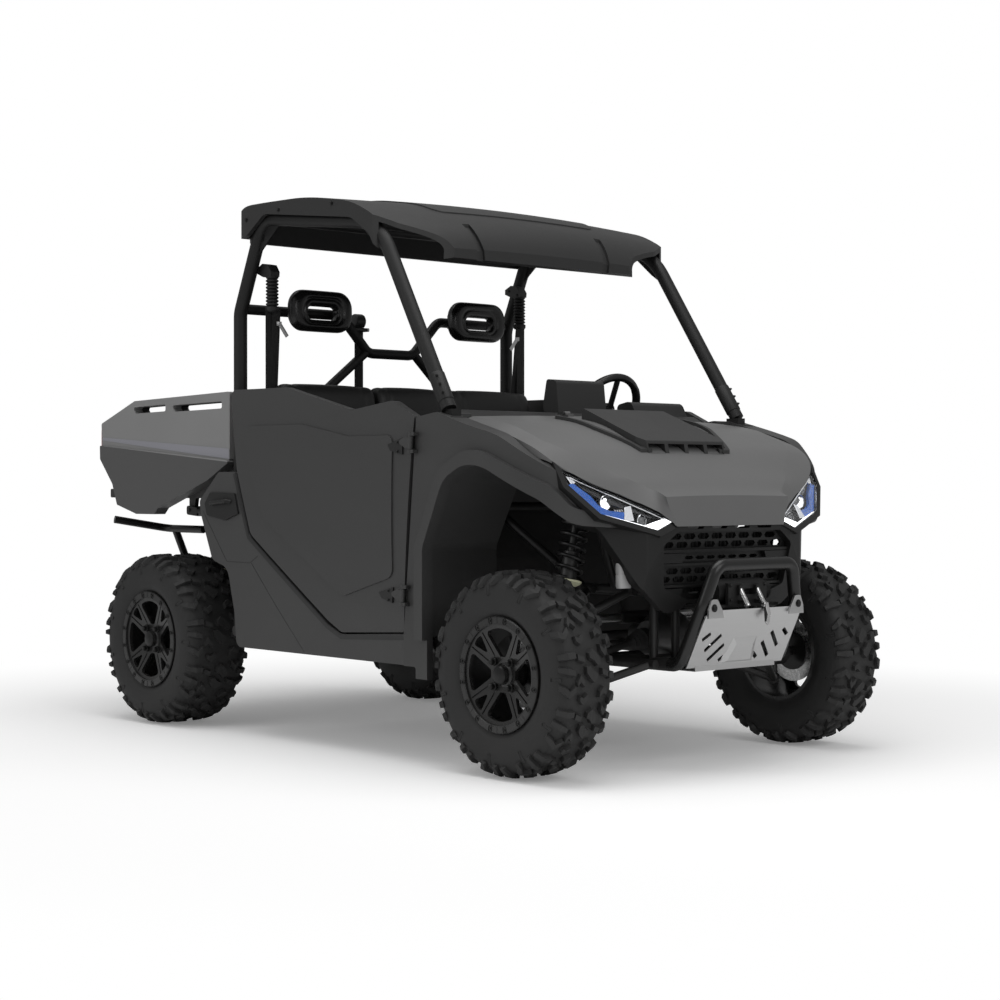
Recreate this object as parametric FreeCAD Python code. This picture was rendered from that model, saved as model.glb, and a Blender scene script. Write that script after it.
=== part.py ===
import FreeCAD, Part
import math
import os
from FreeCAD import Vector

# Side-by-side utility vehicle. +X is forward, +Y is left, +Z is up, in millimetres.
# The origin is on the floor, midway between the front loop and the rear end.

# Driving dimensions
WHEELBASE = 2088.0
FRONT_OVERHANG = 431.0
REAR_OVERHANG = 531.0
TYRE_RADIUS = 341.0
FRONT_TYRE_WIDTH = 229.0
REAR_TYRE_WIDTH = 279.0
FRONT_TYRE_OUTER = 798.0
REAR_TYRE_OUTER = 815.0
RIM_RADIUS = 178.0
BARREL_RADIUS = 165.0
RING_RADIUS = 191.0
HUB_RADIUS = 44.0
SPOKE_COUNT = 8
SPOKE_SPREAD = 13.0
DISC_RADIUS = 112.0
DISC_THICKNESS = 5.0

SKIN_OUTER = 765.0
SKIN_BULGE = 22.0
DOOR_THICKNESS = 30.0
DOOR_REAR = 504.0
DOOR_FRONT = -465.0
DOOR_STEP = 5.0
PANEL_THICKNESS = 26.0
SILL_BOTTOM = 335.0
FLOOR_TOP = 430.0
FLOOR_THICKNESS = 12.0
DOOR_GAP = 7.0
SHELL_WALL = 14.0
FLANGE_THICKNESS = 16.0
LIP_WIDTH = 48.0
LIP_PROUD = 22.0

CAGE_RADIUS = 26.0
CAGE_FOOT_HEIGHT = 1214.0
CAGE_SHELF_TOP = 1188.0
CAGE_FRONT = -316.0
CAGE_PILLAR = 482.0
CAGE_KNEE = 1621.0
HARNESS_DROP = 396.0
BELT_DROP = 402.0
CAGE_Y = 690.0
HEADREST_Y = 405.0
HEADREST_DEPTH = 45.0
BEAM_RADIUS = 22.0
RAIL_Y = 250.0
RAIL_Z = 360.0
RAIL_NOSE = 256.0
RAIL_TAIL = -372.0
SILL_TUBE_Y = 640.0
SILL_TUBE_Z = 396.0
BED_RAIL_Y = 300.0
BED_RAIL_Z = 845.0
ROOF_WALL = 18.0
ROOF_HALF_WIDTH = 738.0
ROOF_REAR = 549.0
ROOF_FRONT = -620.0
ROOF_RAISE = 5.0
ROOF_HEIGHT = 2034.0

KINGPIN_Y = 575.0
STEER_ARM = 110.0
ARM_RADIUS = 14.0
BUSH_RADIUS = 15.0

BED_FRONT = 444.0
BED_INNER_HALF = 640.0
BED_OUTER_HALF = 715.0
FLARE_PROUD = 12.0
BED_FLOOR_TOP = 925.0
BED_FLOOR_THICKNESS = 20.0
BED_HINGE_X = -446.0
BED_HINGE_Z = 850.0
BED_TAIL = -516.0
TAILGATE_THICKNESS = 24.0
TAILGATE_TOP = 1208.0
PIN_RADIUS = 8.0
PIN_CLEARANCE = 0.5
SEAT_CLEARANCE = 0.3
MOVING_CLEARANCE = 6.0

GEARBOX_RADIUS = 88.0
FRONT_BOX_Z = 429.0
REAR_BOX_Z = 436.0
BALL_RADIUS = 22.0
KNUCKLE_TOP = 92.0
KNUCKLE_BOTTOM = 76.0
REAR_CARRIER_Y = 552.0
FRONT_PERCH_Y = 503.0
REAR_PERCH_Y = 470.0
FRONT_BUSH_Z = 600.0
REAR_BUSH_Z = 560.0
RACK_Z = 494.0
RACK_RADIUS = 14.0
WINCH_RADIUS = 42.0
WINCH_Z = 600.0
MUFFLER_RADIUS = 84.0
SEAT_BOX_TOP = 660.0
DASH_BAR_Z = 880.0

STEERING_CENTRE = (-714.0, 400.0, 1235.0)
STEERING_RADIUS = 175.0
STEERING_TILT_DEG = 30.0

HOOD_HINGE_X = -327.0
HOOD_HINGE_Z = 1212.0
HOOD_LIP_X = 304.0
BEZEL_WIDTH = 20.0
BEZEL_PROUD = 3.0
FASCIA_FOOT = 258.0

LOOP_RADIUS = 22.0
RECEIVER_OUTER = 63.5
RECEIVER_INNER = 51.0
RECEIVER_LENGTH = 180.0
RECEIVER_PIN_RADIUS = 8.2

FRONT_AXLE_X = (WHEELBASE + REAR_OVERHANG - FRONT_OVERHANG) / 2
REAR_AXLE_X = FRONT_AXLE_X - WHEELBASE
AXLE_Z = TYRE_RADIUS
FRONT_TYRE_Y = FRONT_TYRE_OUTER - FRONT_TYRE_WIDTH / 2
REAR_TYRE_Y = REAR_TYRE_OUTER - REAR_TYRE_WIDTH / 2


def fore(x):
    """A place given from the front axle."""
    return FRONT_AXLE_X + x


def aft(x):
    """A place given from the rear axle."""
    return REAR_AXLE_X + x


def box(x0, x1, y0, y1, z0, z1):
    return Part.makeBox(x1 - x0, y1 - y0, z1 - z0, Vector(x0, y0, z0))


def rod(start, end, radius):
    """A straight round bar between two points."""
    a = Vector(*start)
    b = Vector(*end)
    return Part.makeCylinder(radius, a.distanceToPoint(b), a, b - a)


def rounded_wire(points, closed):
    """Straight runs joined by tangent arcs. A point is (vector, radius)."""
    count = len(points)
    legs = []
    for i, (corner, radius) in enumerate(points):
        if radius == 0 or (not closed and i in (0, count - 1)):
            legs.append((corner, None, corner))
            continue
        back = (points[i - 1][0] - corner).normalize()
        ahead = (points[(i + 1) % count][0] - corner).normalize()
        half = back.getAngle(ahead) / 2
        reach = radius / math.tan(half)
        inward = (back + ahead).normalize()
        middle = corner + inward * (radius / math.sin(half) - radius)
        legs.append((corner + back * reach, middle, corner + ahead * reach))
    edges = []
    for i, (entry, middle, leave) in enumerate(legs):
        if middle is not None:
            edges.append(Part.Arc(entry, middle, leave).toShape())
        if i + 1 < count or closed:
            following = legs[(i + 1) % count][0]
            if leave.distanceToPoint(following) > 1e-4:
                edges.append(Part.LineSegment(leave, following).toShape())
    return Part.Wire(edges)


def bent_tube(points, radius, bend):
    """A round tube along straight runs. A point may name its own bend radius."""
    path = rounded_wire([(Vector(*p[:3]), p[3] if len(p) > 3 else bend) for p in points], False)
    start = Vector(*points[0][:3])
    ring = Part.Wire(Part.makeCircle(radius, start, Vector(*points[1][:3]) - start))
    return path.makePipeShell([ring], True, False)


def side_prism(points, y0, y1):
    """A side-view outline of (x, z) or (x, z, radius), extruded from y0 to y1."""
    corners = [(Vector(p[0], y0, p[1]), p[2] if len(p) > 2 else 0) for p in points]
    return Part.Face(rounded_wire(corners, True)).extrude(Vector(0, y1 - y0, 0))


def front_prism(points, x0, x1):
    """A front-view outline of (y, z) or (y, z, radius), extruded from x0 to x1."""
    corners = [(Vector(x0, p[0], p[1]), p[2] if len(p) > 2 else 0) for p in points]
    return Part.Face(rounded_wire(corners, True)).extrude(Vector(x1 - x0, 0, 0))


def plan_prism(points, z0, z1):
    """A plan-view outline of (x, y) or (x, y, radius), extruded from z0 to z1."""
    corners = [(Vector(p[0], p[1], z0), p[2] if len(p) > 2 else 0) for p in points]
    return Part.Face(rounded_wire(corners, True)).extrude(Vector(0, 0, z1 - z0))


def lathe(points, centre, axis):
    """A profile of (radius, along) turned round an axis through centre."""
    direction = Vector(*axis).normalize()
    side = direction.cross(Vector(0, 0, 1))
    if side.Length < 1e-6:
        side = Vector(1, 0, 0)
    side.normalize()
    origin = Vector(*centre)
    corners = []
    for p in points:
        place = origin + side * p[0] + direction * p[1]
        corners.append((place, p[2] if len(p) > 2 else 0))
    return Part.Face(rounded_wire(corners, True)).revolve(origin, direction, 360)


def fused(shapes):
    if len(shapes) == 1:
        return shapes[0]
    return shapes[0].multiFuse(shapes[1:]).removeSplitter()


def mirrored(shape):
    return shape.mirror(Vector(0, 0, 0), Vector(0, 1, 0))


def both_sides(shape):
    """The shape and its mirror image, as solids that do not touch."""
    return Part.makeCompound([shape, mirrored(shape)])


def opposite(point):
    return (point[0], -point[1], point[2])


def save(name, shape):
    os.makedirs("parts", exist_ok=True)
    shape.exportStep("parts/" + name + ".step")


# Body side

def skin_y(z):
    """Outer face of the cab side at a height, a shallow arc."""
    middle = 880.0
    reach = 545.0
    return SKIN_OUTER - SKIN_BULGE * ((z - middle) / reach) ** 2


def side_skin(x0, x1, z0, z1, thickness, proud=0.0):
    """A curved slab of the left cab side, between two stations."""
    middle = (z0 + z1) / 2

    def arc(inset):
        ends = [Vector(x0, skin_y(z) + proud - inset, z) for z in (z0, middle, z1)]
        return Part.Arc(*ends).toShape()

    outer = arc(0)
    inner = arc(thickness)
    top = Part.LineSegment(outer.lastVertex().Point, inner.lastVertex().Point).toShape()
    bottom = Part.LineSegment(outer.firstVertex().Point, inner.firstVertex().Point).toShape()
    face = Part.Face(Part.Wire(Part.__sortEdges__([outer, top, inner, bottom])))
    return face.extrude(Vector(x1 - x0, 0, 0))


DOOR_SHAPE = [(0.0, 1322, 30), (0.322, 1319, 60), (0.685, 1224, 150), (0.889, 1251, 60), (1.0, 1194, 12),
              (0.943, 450, 12), (0.624, 430, 60), (0.555, 469, 60), (0.135, 772, 60), (0.054, 1013, 60)]


def door_x(share):
    """A place along the door, from its rear edge at 0 to its front edge at 1."""
    return aft(DOOR_REAR) + share * (fore(DOOR_FRONT) - aft(DOOR_REAR))


def door_axis(side):
    """Two points of the door's hinge line, just outside the gap in front of the door."""
    y = side * (SKIN_OUTER + 11)
    return [Vector(fore(-511 + 4), y, 578), Vector(fore(-466 + 2), y, 1102)]


def door(side):
    """A half door: curved skin, raised inner frame, hinge plates and barrels."""
    outline = side_prism([(door_x(share), z, bend) for share, z, bend in DOOR_SHAPE], 500, 900)
    skin = side_skin(aft(450), fore(-400), SILL_BOTTOM, 1345, DOOR_THICKNESS)
    field = side_prism([(door_x(0.1), 1180, 40), (door_x(0.42), 1180, 60), (door_x(0.68), 1130, 60),
                        (door_x(0.9), 1130, 30), (door_x(0.9), 640, 40), (door_x(0.64), 560, 60),
                        (door_x(0.22), 830, 60), (door_x(0.14), 1000, 40)], 500, 900)
    raised = side_skin(aft(450), fore(-400), SILL_BOTTOM, 1345, DOOR_THICKNESS - 4, DOOR_STEP)
    parts = [skin.common(outline), raised.common(outline).common(field)]
    lower, upper = door_axis(1)
    along = (upper - lower).normalize()
    for place in (lower, upper):
        plate = side_prism([(place.x - 74, place.z + 4, 8), (place.x - 12, place.z + 30, 8),
                            (place.x - 8, place.z - 30, 8)], skin_y(place.z) - 8, place.y - 1)
        barrel = Part.makeCylinder(9, 44, place - along * 22, along)
        arm = box(place.x - 24, place.x, place.y - 6, place.y + 6, place.z - 18, place.z + 18)
        parts += [plate, arm, barrel]
    bores = [Part.makeCylinder(4.5, 60, place - along * 30, along) for place in (lower, upper)]
    shape = fused(parts)
    for bore in bores:
        shape = shape.cut(bore)
    if side < 0:
        shape = mirrored(shape)
    return shape


def hinge_pins():
    """Pins and ears on the left fender that carry the door's barrels."""
    lower, upper = door_axis(1)
    along = (upper - lower).normalize()
    pieces = []
    for place in (lower, upper):
        pieces.append(Part.makeCylinder(4, 72, place - along * 36, along))
        for end in (-30, 30):
            centre = place + along * end
            pieces.append(Part.makeCylinder(9, 14, centre - along * 7, along))
            foot = skin_y(centre.z) - 14
            pieces.append(box(centre.x, centre.x + 22, foot, centre.y + 6, centre.z - 6, centre.z + 6))
    return pieces


def plan_edge(offset):
    """Outer edge of the front fender seen from above, as a smooth curve."""
    stations = [(-540, SKIN_OUTER), (-300, SKIN_OUTER + 8), (-120, SKIN_OUTER + 12),
                (20, SKIN_OUTER - 32), (110, SKIN_OUTER - 92), (180, SKIN_OUTER - 190),
                (240, SKIN_OUTER - 300)]
    points = [Vector(fore(x), y - offset, 0) for x, y in stations]
    curve = Part.BSplineCurve()
    curve.interpolate(points)
    return curve.toShape()


def plan_band(z0, z1, inset, thickness):
    """A wall that follows the fender's plan curve."""
    outer = plan_edge(inset)
    inner = plan_edge(inset + thickness)
    ends = [Part.LineSegment(outer.firstVertex().Point, inner.firstVertex().Point).toShape(),
            Part.LineSegment(outer.lastVertex().Point, inner.lastVertex().Point).toShape()]
    face = Part.Face(Part.Wire(Part.__sortEdges__([outer, ends[1], inner, ends[0]])))
    face.translate(Vector(0, 0, z0))
    return face.extrude(Vector(0, 0, z1 - z0))


def arch_outline(grow):
    """The wheel arch opening seen from the side, open to the front, grown outwards by a distance."""
    return [(fore(-390) - grow, 200, 0), (fore(-391) - grow, 745, 60),
            (fore(-270) - grow * 0.8, 975 + grow * 0.6, 120), (fore(-120), 1045 + grow, 160),
            (fore(104) + grow * 0.6, 908 + grow * 0.9, 120), (fore(172), 826 + grow, 60),
            (fore(420), 796 + grow, 0), (fore(420), 200, 0)]


def fender_inside(offset):
    """The space inside the fender's plan curve, moved inwards by a distance."""
    edge = plan_edge(offset)
    first = edge.firstVertex().Point
    last = edge.lastVertex().Point
    inner_front = Vector(last.x, 300, 0)
    inner_rear = Vector(first.x, 300, 0)
    loop = [edge, Part.LineSegment(last, inner_front).toShape(), Part.LineSegment(inner_front, inner_rear).toShape(),
            Part.LineSegment(inner_rear, first).toShape()]
    return Part.Face(Part.Wire(loop)).extrude(Vector(0, 0, 1300))


def front_fender():
    """Left front fender: curved side, top flange, wheel arch with its lip, liner and hinge ears."""
    outline = side_prism([
        (fore(-523) + DOOR_GAP - 1, 448, 0), (fore(-458) + DOOR_GAP - 1, 1190, 8), (fore(-336), 1204, 60),
        (fore(-42), 1124, 200), (fore(130), 1004, 30), (fore(225), 862, 10), (fore(240), 780, 0),
        (fore(100), 200, 0), (fore(-455), 200, 0), (fore(-455), SILL_BOTTOM, 10),
        (fore(-523) + DOOR_GAP - 1, SILL_BOTTOM, 0)], 300, 900)
    arch = side_prism(arch_outline(0), 200, 900)
    wall = plan_band(SILL_BOTTOM - 40, 1240, 0, PANEL_THICKNESS)
    skin = wall.common(outline).cut(arch)
    lowered = outline.copy()
    lowered.translate(Vector(0, 0, -FLANGE_THICKNESS))
    flange = outline.cut(lowered).common(fender_inside(PANEL_THICKNESS / 2))
    flange = flange.common(box(fore(-440), fore(140), 622, 900, 900, 1300))
    lip_zone = side_prism(arch_outline(LIP_WIDTH), 200, 900).cut(arch)
    lip = plan_band(430, 1120, -LIP_PROUD, PANEL_THICKNESS + 10).common(lip_zone).common(outline)
    liner_zone = side_prism(arch_outline(16), 440, SKIN_OUTER - 10)
    liner = liner_zone.cut(side_prism(arch_outline(8), 400, 900))
    liner = liner.common(box(fore(-420), fore(190), 400, 800, 440, 1100)).common(fender_inside(10))
    shelf = box(fore(-400), fore(-262), 700, SKIN_OUTER - 6, 1170, CAGE_SHELF_TOP)
    shape = fused([skin, flange, lip, liner, shelf] + hinge_pins())
    return shape.cut(cage_foot(SEAT_CLEARANCE)).cut(bent_tube(cage_points()[:2], CAGE_RADIUS + 1, 0))


def side_panel():
    """Left lower side: sill and the quarter panel behind the door."""
    outline = side_prism([
        (door_x(0.054) - DOOR_GAP, 1008, 20), (door_x(0.135) - DOOR_GAP, 766, 60),
        (door_x(0.555) - 3, 463 - DOOR_GAP, 60), (door_x(0.624) - 2, 430 - DOOR_GAP, 60),
        (fore(-517.3), 450 - DOOR_GAP, 0), (fore(-517.3), SILL_BOTTOM, 0), (aft(531), SILL_BOTTOM + 3, 30),
        (aft(531), 470, 40), (aft(497), 640, 60), (aft(394), 668, 40), (aft(317), 850, 30), (aft(310), 897, 20),
        (aft(440), 1008, 20)], 500, 900)
    skin = side_skin(aft(300), fore(-500), SILL_BOTTOM, 1100, PANEL_THICKNESS)
    shelf = box(aft(640), fore(-530), SILL_TUBE_Y + BEAM_RADIUS + SEAT_CLEARANCE, SKIN_OUTER - 30,
                SILL_TUBE_Z - 5, SILL_TUBE_Z + 5)
    return fused([skin.common(outline), shelf])


# Roof and cage

def even_stations(stations, count):
    """Evenly spaced stations on a curve that passes the given ones without overshooting them."""
    columns = list(zip(*stations))
    places = columns[0]
    spans = [b - a for a, b in zip(places, places[1:])]
    curves = []
    for column in columns[1:]:
        secants = [(b - a) / span for a, b, span in zip(column, column[1:], spans)]
        slopes = [secants[0]]
        for before, after in zip(secants, secants[1:]):
            slopes.append(0 if before * after <= 0 else 2 * before * after / (before + after))
        slopes.append(secants[-1])
        curves.append((column, slopes))
    result = []
    for step in range(count):
        x = places[0] + (places[-1] - places[0]) * step / (count - 1)
        i = max(k for k in range(len(spans)) if places[k] <= x + 1e-9)
        t = (x - places[i]) / spans[i]
        values = []
        for column, slopes in curves:
            value = (1 + 2 * t) * (1 - t) ** 2 * column[i] + t * t * (3 - 2 * t) * column[i + 1]
            value += spans[i] * (t * (1 - t) ** 2 * slopes[i] - t * t * (1 - t) * slopes[i + 1])
            values.append(value)
        result.append((x,) + tuple(values))
    return result


def crowned_section(x, half, base, shoulder, crown):
    """A closed cross-section: flat base, upright sides and a curved top."""
    left = Vector(x, half, shoulder)
    right = Vector(x, -half, shoulder)
    quarter = (shoulder + 3 * crown) / 4
    top = Part.BSplineCurve()
    top.interpolate([left, Vector(x, half / 2, quarter), Vector(x, 0, crown),
                     Vector(x, -half / 2, quarter), right])
    edges = [Part.LineSegment(Vector(x, -half, base), Vector(x, half, base)).toShape(),
             Part.LineSegment(Vector(x, half, base), left).toShape(), top.toShape(),
             Part.LineSegment(right, Vector(x, -half, base)).toShape()]
    return Part.Wire(edges)


def crowned_shell(stations, wall, drop):
    """A shell lofted through crowned sections and open below."""
    outer = Part.makeLoft([crowned_section(*s) for s in stations], True, False)
    inner_stations = []
    last = len(stations) - 1
    for i, (x, half, base, shoulder, crown) in enumerate(stations):
        shift = wall if i == 0 else (-wall if i == last else 0)
        inner_stations.append((x + shift, half - wall, base - drop, shoulder - wall, crown - wall))
    inner = Part.makeLoft([crowned_section(*s) for s in inner_stations], True, False)
    return outer.cut(inner)


def roof_stations():
    """Moulded roof with a crowned top, side lips and a front visor."""
    w = ROOF_HALF_WIDTH
    h = ROOF_HEIGHT
    shares = [(0.0, w - 6, h - 150, h - 30, h - 14), (0.07, w, h - 150, h - 14, h - 5),
              (0.375, w, h - 150, h - 18, h - 6), (0.7, w, h - 180, h - 54, h - 32),
              (0.87, w - 4, h - 240, h - 114, h - 88), (0.95, w - 12, h - 270, h - 176, h - 142),
              (1.0, w - 24, h - 262, h - 238, h - 222)]
    length = fore(ROOF_FRONT) - aft(ROOF_REAR)
    stations = [(aft(ROOF_REAR) + share * length, half, base, shoulder, crown)
                for share, half, base, shoulder, crown in shares]
    return even_stations(stations, 21)


def roof():
    """Roof shell with arched side lips, a raised centre and two slanted cuts in the visor."""
    rear = aft(ROOF_REAR)
    front = fore(ROOF_FRONT)
    h = ROOF_HEIGHT
    shell = crowned_shell(roof_stations(), ROOF_WALL, 40)
    solid = Part.makeLoft([crowned_section(*s) for s in roof_stations()], True, False)
    length = front - rear
    field = plan_prism([(rear + 0.06 * length, 380, 60), (rear + 0.6 * length, 470, 120),
                        (rear + 0.84 * length, 400, 60), (rear + 0.84 * length, -400, 60),
                        (rear + 0.6 * length, -470, 120), (rear + 0.06 * length, -380, 60)], h - 300, h + 40)
    lifted = solid.copy()
    lifted.translate(Vector(0, 0, ROOF_RAISE))
    sunk = solid.copy()
    sunk.translate(Vector(0, 0, -ROOF_WALL / 2))
    shape = fused([shell, lifted.common(field).cut(sunk)])
    arch = [(rear - 20, h - 300), (rear - 20, h - 139), (rear + 0.05 * length, h - 126, 40),
            (rear + 0.17 * length, h - 56, 60), (rear + 0.75 * length, h - 120, 90),
            (rear + 0.86 * length, h - 185, 60), (rear + 0.93 * length, h - 300)]
    for y0, y1 in ((ROOF_HALF_WIDTH - 46, 900), (-900, 46 - ROOF_HALF_WIDTH)):
        shape = shape.cut(side_prism(arch, y0, y1))
    corner = plan_prism([(front + 60, 380), (front, 400, 200), (front - 64, 654, 120), (front - 120, 760),
                         (front + 60, 760)], h - 320, h + 20)
    shape = shape.cut(corner).cut(mirrored(corner))
    shallow = solid.copy()
    shallow.translate(Vector(-9, 0, -5))
    groove = front_prism([(318, h - 120), (352, h - 120), (330, h - 280), (296, h - 280)], front - 70, front + 20)
    groove = groove.cut(shallow)
    return shape.cut(groove).cut(mirrored(groove))


def roof_inside():
    """The space under the roof, up to its inner face."""
    stations = [(x, half - ROOF_WALL, base - 60, shoulder - ROOF_WALL, crown - ROOF_WALL)
                for x, half, base, shoulder, crown in roof_stations()]
    return Part.makeLoft([crowned_section(*s) for s in stations], True, False)


def cage_points():
    """Left side hoop, from the front foot up, along the roof and down to the sill."""
    h = ROOF_HEIGHT
    return [(fore(CAGE_FRONT), 728, CAGE_FOOT_HEIGHT), (fore(-746), CAGE_Y, h - 141.5, 250),
            (aft(637.5), CAGE_Y, h - 63.4, 90), (aft(CAGE_PILLAR), CAGE_Y, CAGE_KNEE, 90),
            (aft(CAGE_PILLAR), CAGE_Y, SILL_TUBE_Z + BEAM_RADIUS - 2 + SEAT_CLEARANCE)]


def cage_rail_height(x):
    """Height of the cage's roof rail at a place along it."""
    front, rear = cage_points()[1:3]
    return front[2] + (rear[2] - front[2]) * (front[0] - x) / (front[0] - rear[0])


def cage_foot(grow):
    """Pad under the front end of the left hoop."""
    x = fore(CAGE_FRONT)
    return box(x - 30 - grow, x + 30 + grow, 700 - grow, 739 + grow,
               CAGE_SHELF_TOP + SEAT_CLEARANCE - grow, CAGE_FOOT_HEIGHT + grow)


def harness_bar(radius):
    """Bar behind the headrests that dips between the seats."""
    pillar = aft(CAGE_PILLAR)
    top = ROOF_HEIGHT - HARNESS_DROP
    half = [(pillar, CAGE_Y, top), (aft(545), 250, top - 6), (aft(545), 115, top - 150)]
    return bent_tube(half + [opposite(p) for p in reversed(half)], radius, 60)


def roll_cage():
    """Two side hoops with cross bars, gussets, the harness bar and its legs."""
    points = cage_points()
    hoop = bent_tube(points, CAGE_RADIUS, 90)
    foot = cage_foot(0)
    bars = [hoop, mirrored(hoop), foot, mirrored(foot), harness_bar(CAGE_RADIUS - 6)]
    posts = []
    for x in (fore(-880), aft(700)):
        z = cage_rail_height(x)
        bars.append(rod((x, -CAGE_Y, z), (x, CAGE_Y, z), CAGE_RADIUS - 5))
        for y in (-420, 420):
            posts.append(rod((x, y, z), (x, y, ROOF_HEIGHT + 20), 12))
    inside = roof_inside()
    bars += [post.common(inside) for post in posts]
    pillar = aft(CAGE_PILLAR)
    bars.append(rod((pillar, -CAGE_Y, 940), (pillar, CAGE_Y, 940), CAGE_RADIUS - 5))
    for side in (1, -1):
        bars.append(rod((aft(545), side * 122, ROOF_HEIGHT - HARNESS_DROP - 143),
                        (pillar, side * (CAGE_Y - 4), 1020), CAGE_RADIUS - 8))
    front, rear = points[1:3]
    plates = [(side_prism([(rear[0] - 88, rear[2] - 200), (rear[0] + 4, rear[2] - 10), (rear[0] + 130, rear[2] - 16),
                           (rear[0] - 10, rear[2] - 120, 60)], CAGE_Y - 3, CAGE_Y + 3), (rear[0] - 4, rear[2] - 72, 16)),
              (side_prism([(front[0] + 92, front[2] - 150), (front[0] + 4, front[2] - 30),
                           (front[0] - 120, front[2] + 10), (front[0] + 10, front[2] - 96, 60)], CAGE_Y - 3, CAGE_Y + 3),
               (front[0] + 10, front[2] - 62, 12))]
    for plate, (x, z, hole) in plates:
        plate = plate.cut(rod((x, CAGE_Y - 10, z), (x, CAGE_Y + 10, z), hole))
        bars += [plate, mirrored(plate)]
    return fused(bars)


def headrest():
    """Left headrest: a thick oval ring with an open centre, clamped to the harness bar."""
    back = aft(594)
    front = back + HEADREST_DEPTH
    y = HEADREST_Y
    z = ROOF_HEIGHT - HARNESS_DROP - 2
    outer = front_prism([(y - 149, z - 81, 66), (y + 149, z - 81, 66), (y + 149, z + 81, 66), (y - 149, z + 81, 66)],
                        back, front)
    outer = outer.makeFillet(12, [edge for edge in outer.Edges if edge.BoundBox.XLength < 1])
    hole = front_prism([(y - 74, z - 33, 30), (y + 74, z - 33, 30), (y + 74, z + 31, 30), (y - 74, z + 31, 30)],
                       back - 1, front + 1)
    clamps = [box(back - 80, back + 8, y + side * 108 - 13, y + side * 108 + 13, z - 24, z + 24) for side in (-1, 1)]
    bar = harness_bar(CAGE_RADIUS - 6 + SEAT_CLEARANCE)
    behind = []
    for clamp in clamps:
        pieces = clamp.cut(bar).Solids
        behind.append(max(pieces, key=lambda solid: solid.CenterOfMass.x))
    return fused([outer.cut(hole)] + behind)


def seat_belt():
    """Left belt: bellows boot, upper guide and the strap down to the seat."""
    y = 640.0
    x = aft(622)
    ribs = []
    for i in range(6):
        ribs += [(24, i * 20), (15, i * 20 + 10)]
    z = ROOF_HEIGHT - BELT_DROP
    boot = lathe([(0, 0)] + ribs + [(24, 120), (0, 120)], (x, y, z), (0, 0, 1))
    guide = box(x - 90, x + 24, y - 18, y + 34, z + 120, z + 154)
    guide = guide.cut(bent_tube(cage_points(), CAGE_RADIUS + SEAT_CLEARANCE, 90))
    guide = max(guide.Solids, key=lambda solid: solid.CenterOfMass.x)
    strap = box(x - 3, x + 3, y - 2, y + 28, 700, z)
    return fused([boot, guide, strap])


# Hood, fascia and lamps

HOOD_STATIONS = [
    (-318, 688, 1130, 1170, 620, 1192, 1204), (-144, 692, 1110, 1145, 625, 1166, 1176),
    (26, 686, 1050, 1092, 612, 1102, 1110), (90, 660, 1042, 1052, 545, 1066, 1074),
    (130, 630, 1006, 1014, 483, 1030, 1044), (236, 398, 900, 906, 354, 954, 963),
    (290, 284, 846, 850, 290, 916, 922), (330, 200, 806, 810, 246, 888, 892)]


def hood_section(x, half, base, edge, crease_y, crease, crown):
    """A closed cross-section with side walls, a facet up to the crease and a curved top."""
    quarter = (crease + 3 * crown) / 4
    top = Part.BSplineCurve()
    top.interpolate([Vector(x, crease_y, crease), Vector(x, crease_y / 2, quarter), Vector(x, 0, crown),
                     Vector(x, -crease_y / 2, quarter), Vector(x, -crease_y, crease)])
    left = [Vector(x, -half, base), Vector(x, half, base), Vector(x, half, edge), Vector(x, crease_y, crease)]
    right = [Vector(x, -crease_y, crease), Vector(x, -half, edge), Vector(x, -half, base)]
    edges = [Part.LineSegment(a, b).toShape() for a, b in zip(left, left[1:])]
    edges.append(top.toShape())
    edges += [Part.LineSegment(a, b).toShape() for a, b in zip(right, right[1:])]
    return Part.Wire(edges)


def hood_block(grow, drop):
    """The hood's outer form, grown on all sides, with its nose cut to the front face."""
    stations = []
    for x, half, base, edge, crease_y, crease, crown in even_stations(HOOD_STATIONS, 13):
        stations.append((fore(x), half + grow, base - max(grow, 0) - drop, edge + grow, crease_y + grow / 2,
                         crease + grow, crown + grow))
    stations[0] = (stations[0][0] - grow,) + stations[0][1:]
    block = Part.makeLoft([hood_section(*s) for s in stations], True, False)
    lip = fore(HOOD_LIP_X) + grow
    front = side_prism([(fore(-400), 600), (lip + 33, 600), (lip - 66, 1300), (fore(-400), 1300)], -800, 800)
    return block.common(front)


def hood_envelope(grow):
    """The space of the hood, grown on all sides."""
    return hood_block(grow, 0)


def hood_way():
    """The space of the hood and just above it, where no other panel may overhang it."""
    blocks = []
    for lift in (0, 20, 40):
        block = hood_envelope(MOVING_CLEARANCE)
        block.translate(Vector(0, 0, lift))
        blocks.append(block)
    return Part.makeCompound(blocks)


def hood_hinge_line():
    """Place of the hood's hinge line above its rear edge."""
    return fore(HOOD_HINGE_X), HOOD_HINGE_Z


def hood():
    """Hinged hood: creased shell that narrows between the lamps, with two hinge barrels."""
    shell = hood_block(0, 0).cut(hood_block(-SHELL_WALL, 60))
    x, z = hood_hinge_line()
    pieces = [shell]
    for y in (-170, 170):
        pieces.append(rod((x, y - 12, z), (x, y + 12, z), 8))
        pieces.append(box(x, x + 24, y - 12, y + 12, z - 14, z - 1))
    bore = rod((x, -200, z), (x, 200, z), 4 + PIN_CLEARANCE)
    shape = fused(pieces).cut(bore)
    around = lamp_block(MOVING_CLEARANCE, MOVING_CLEARANCE)
    shape = shape.cut(around).cut(mirrored(around))
    return max(shape.Solids, key=lambda solid: solid.Volume)


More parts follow.
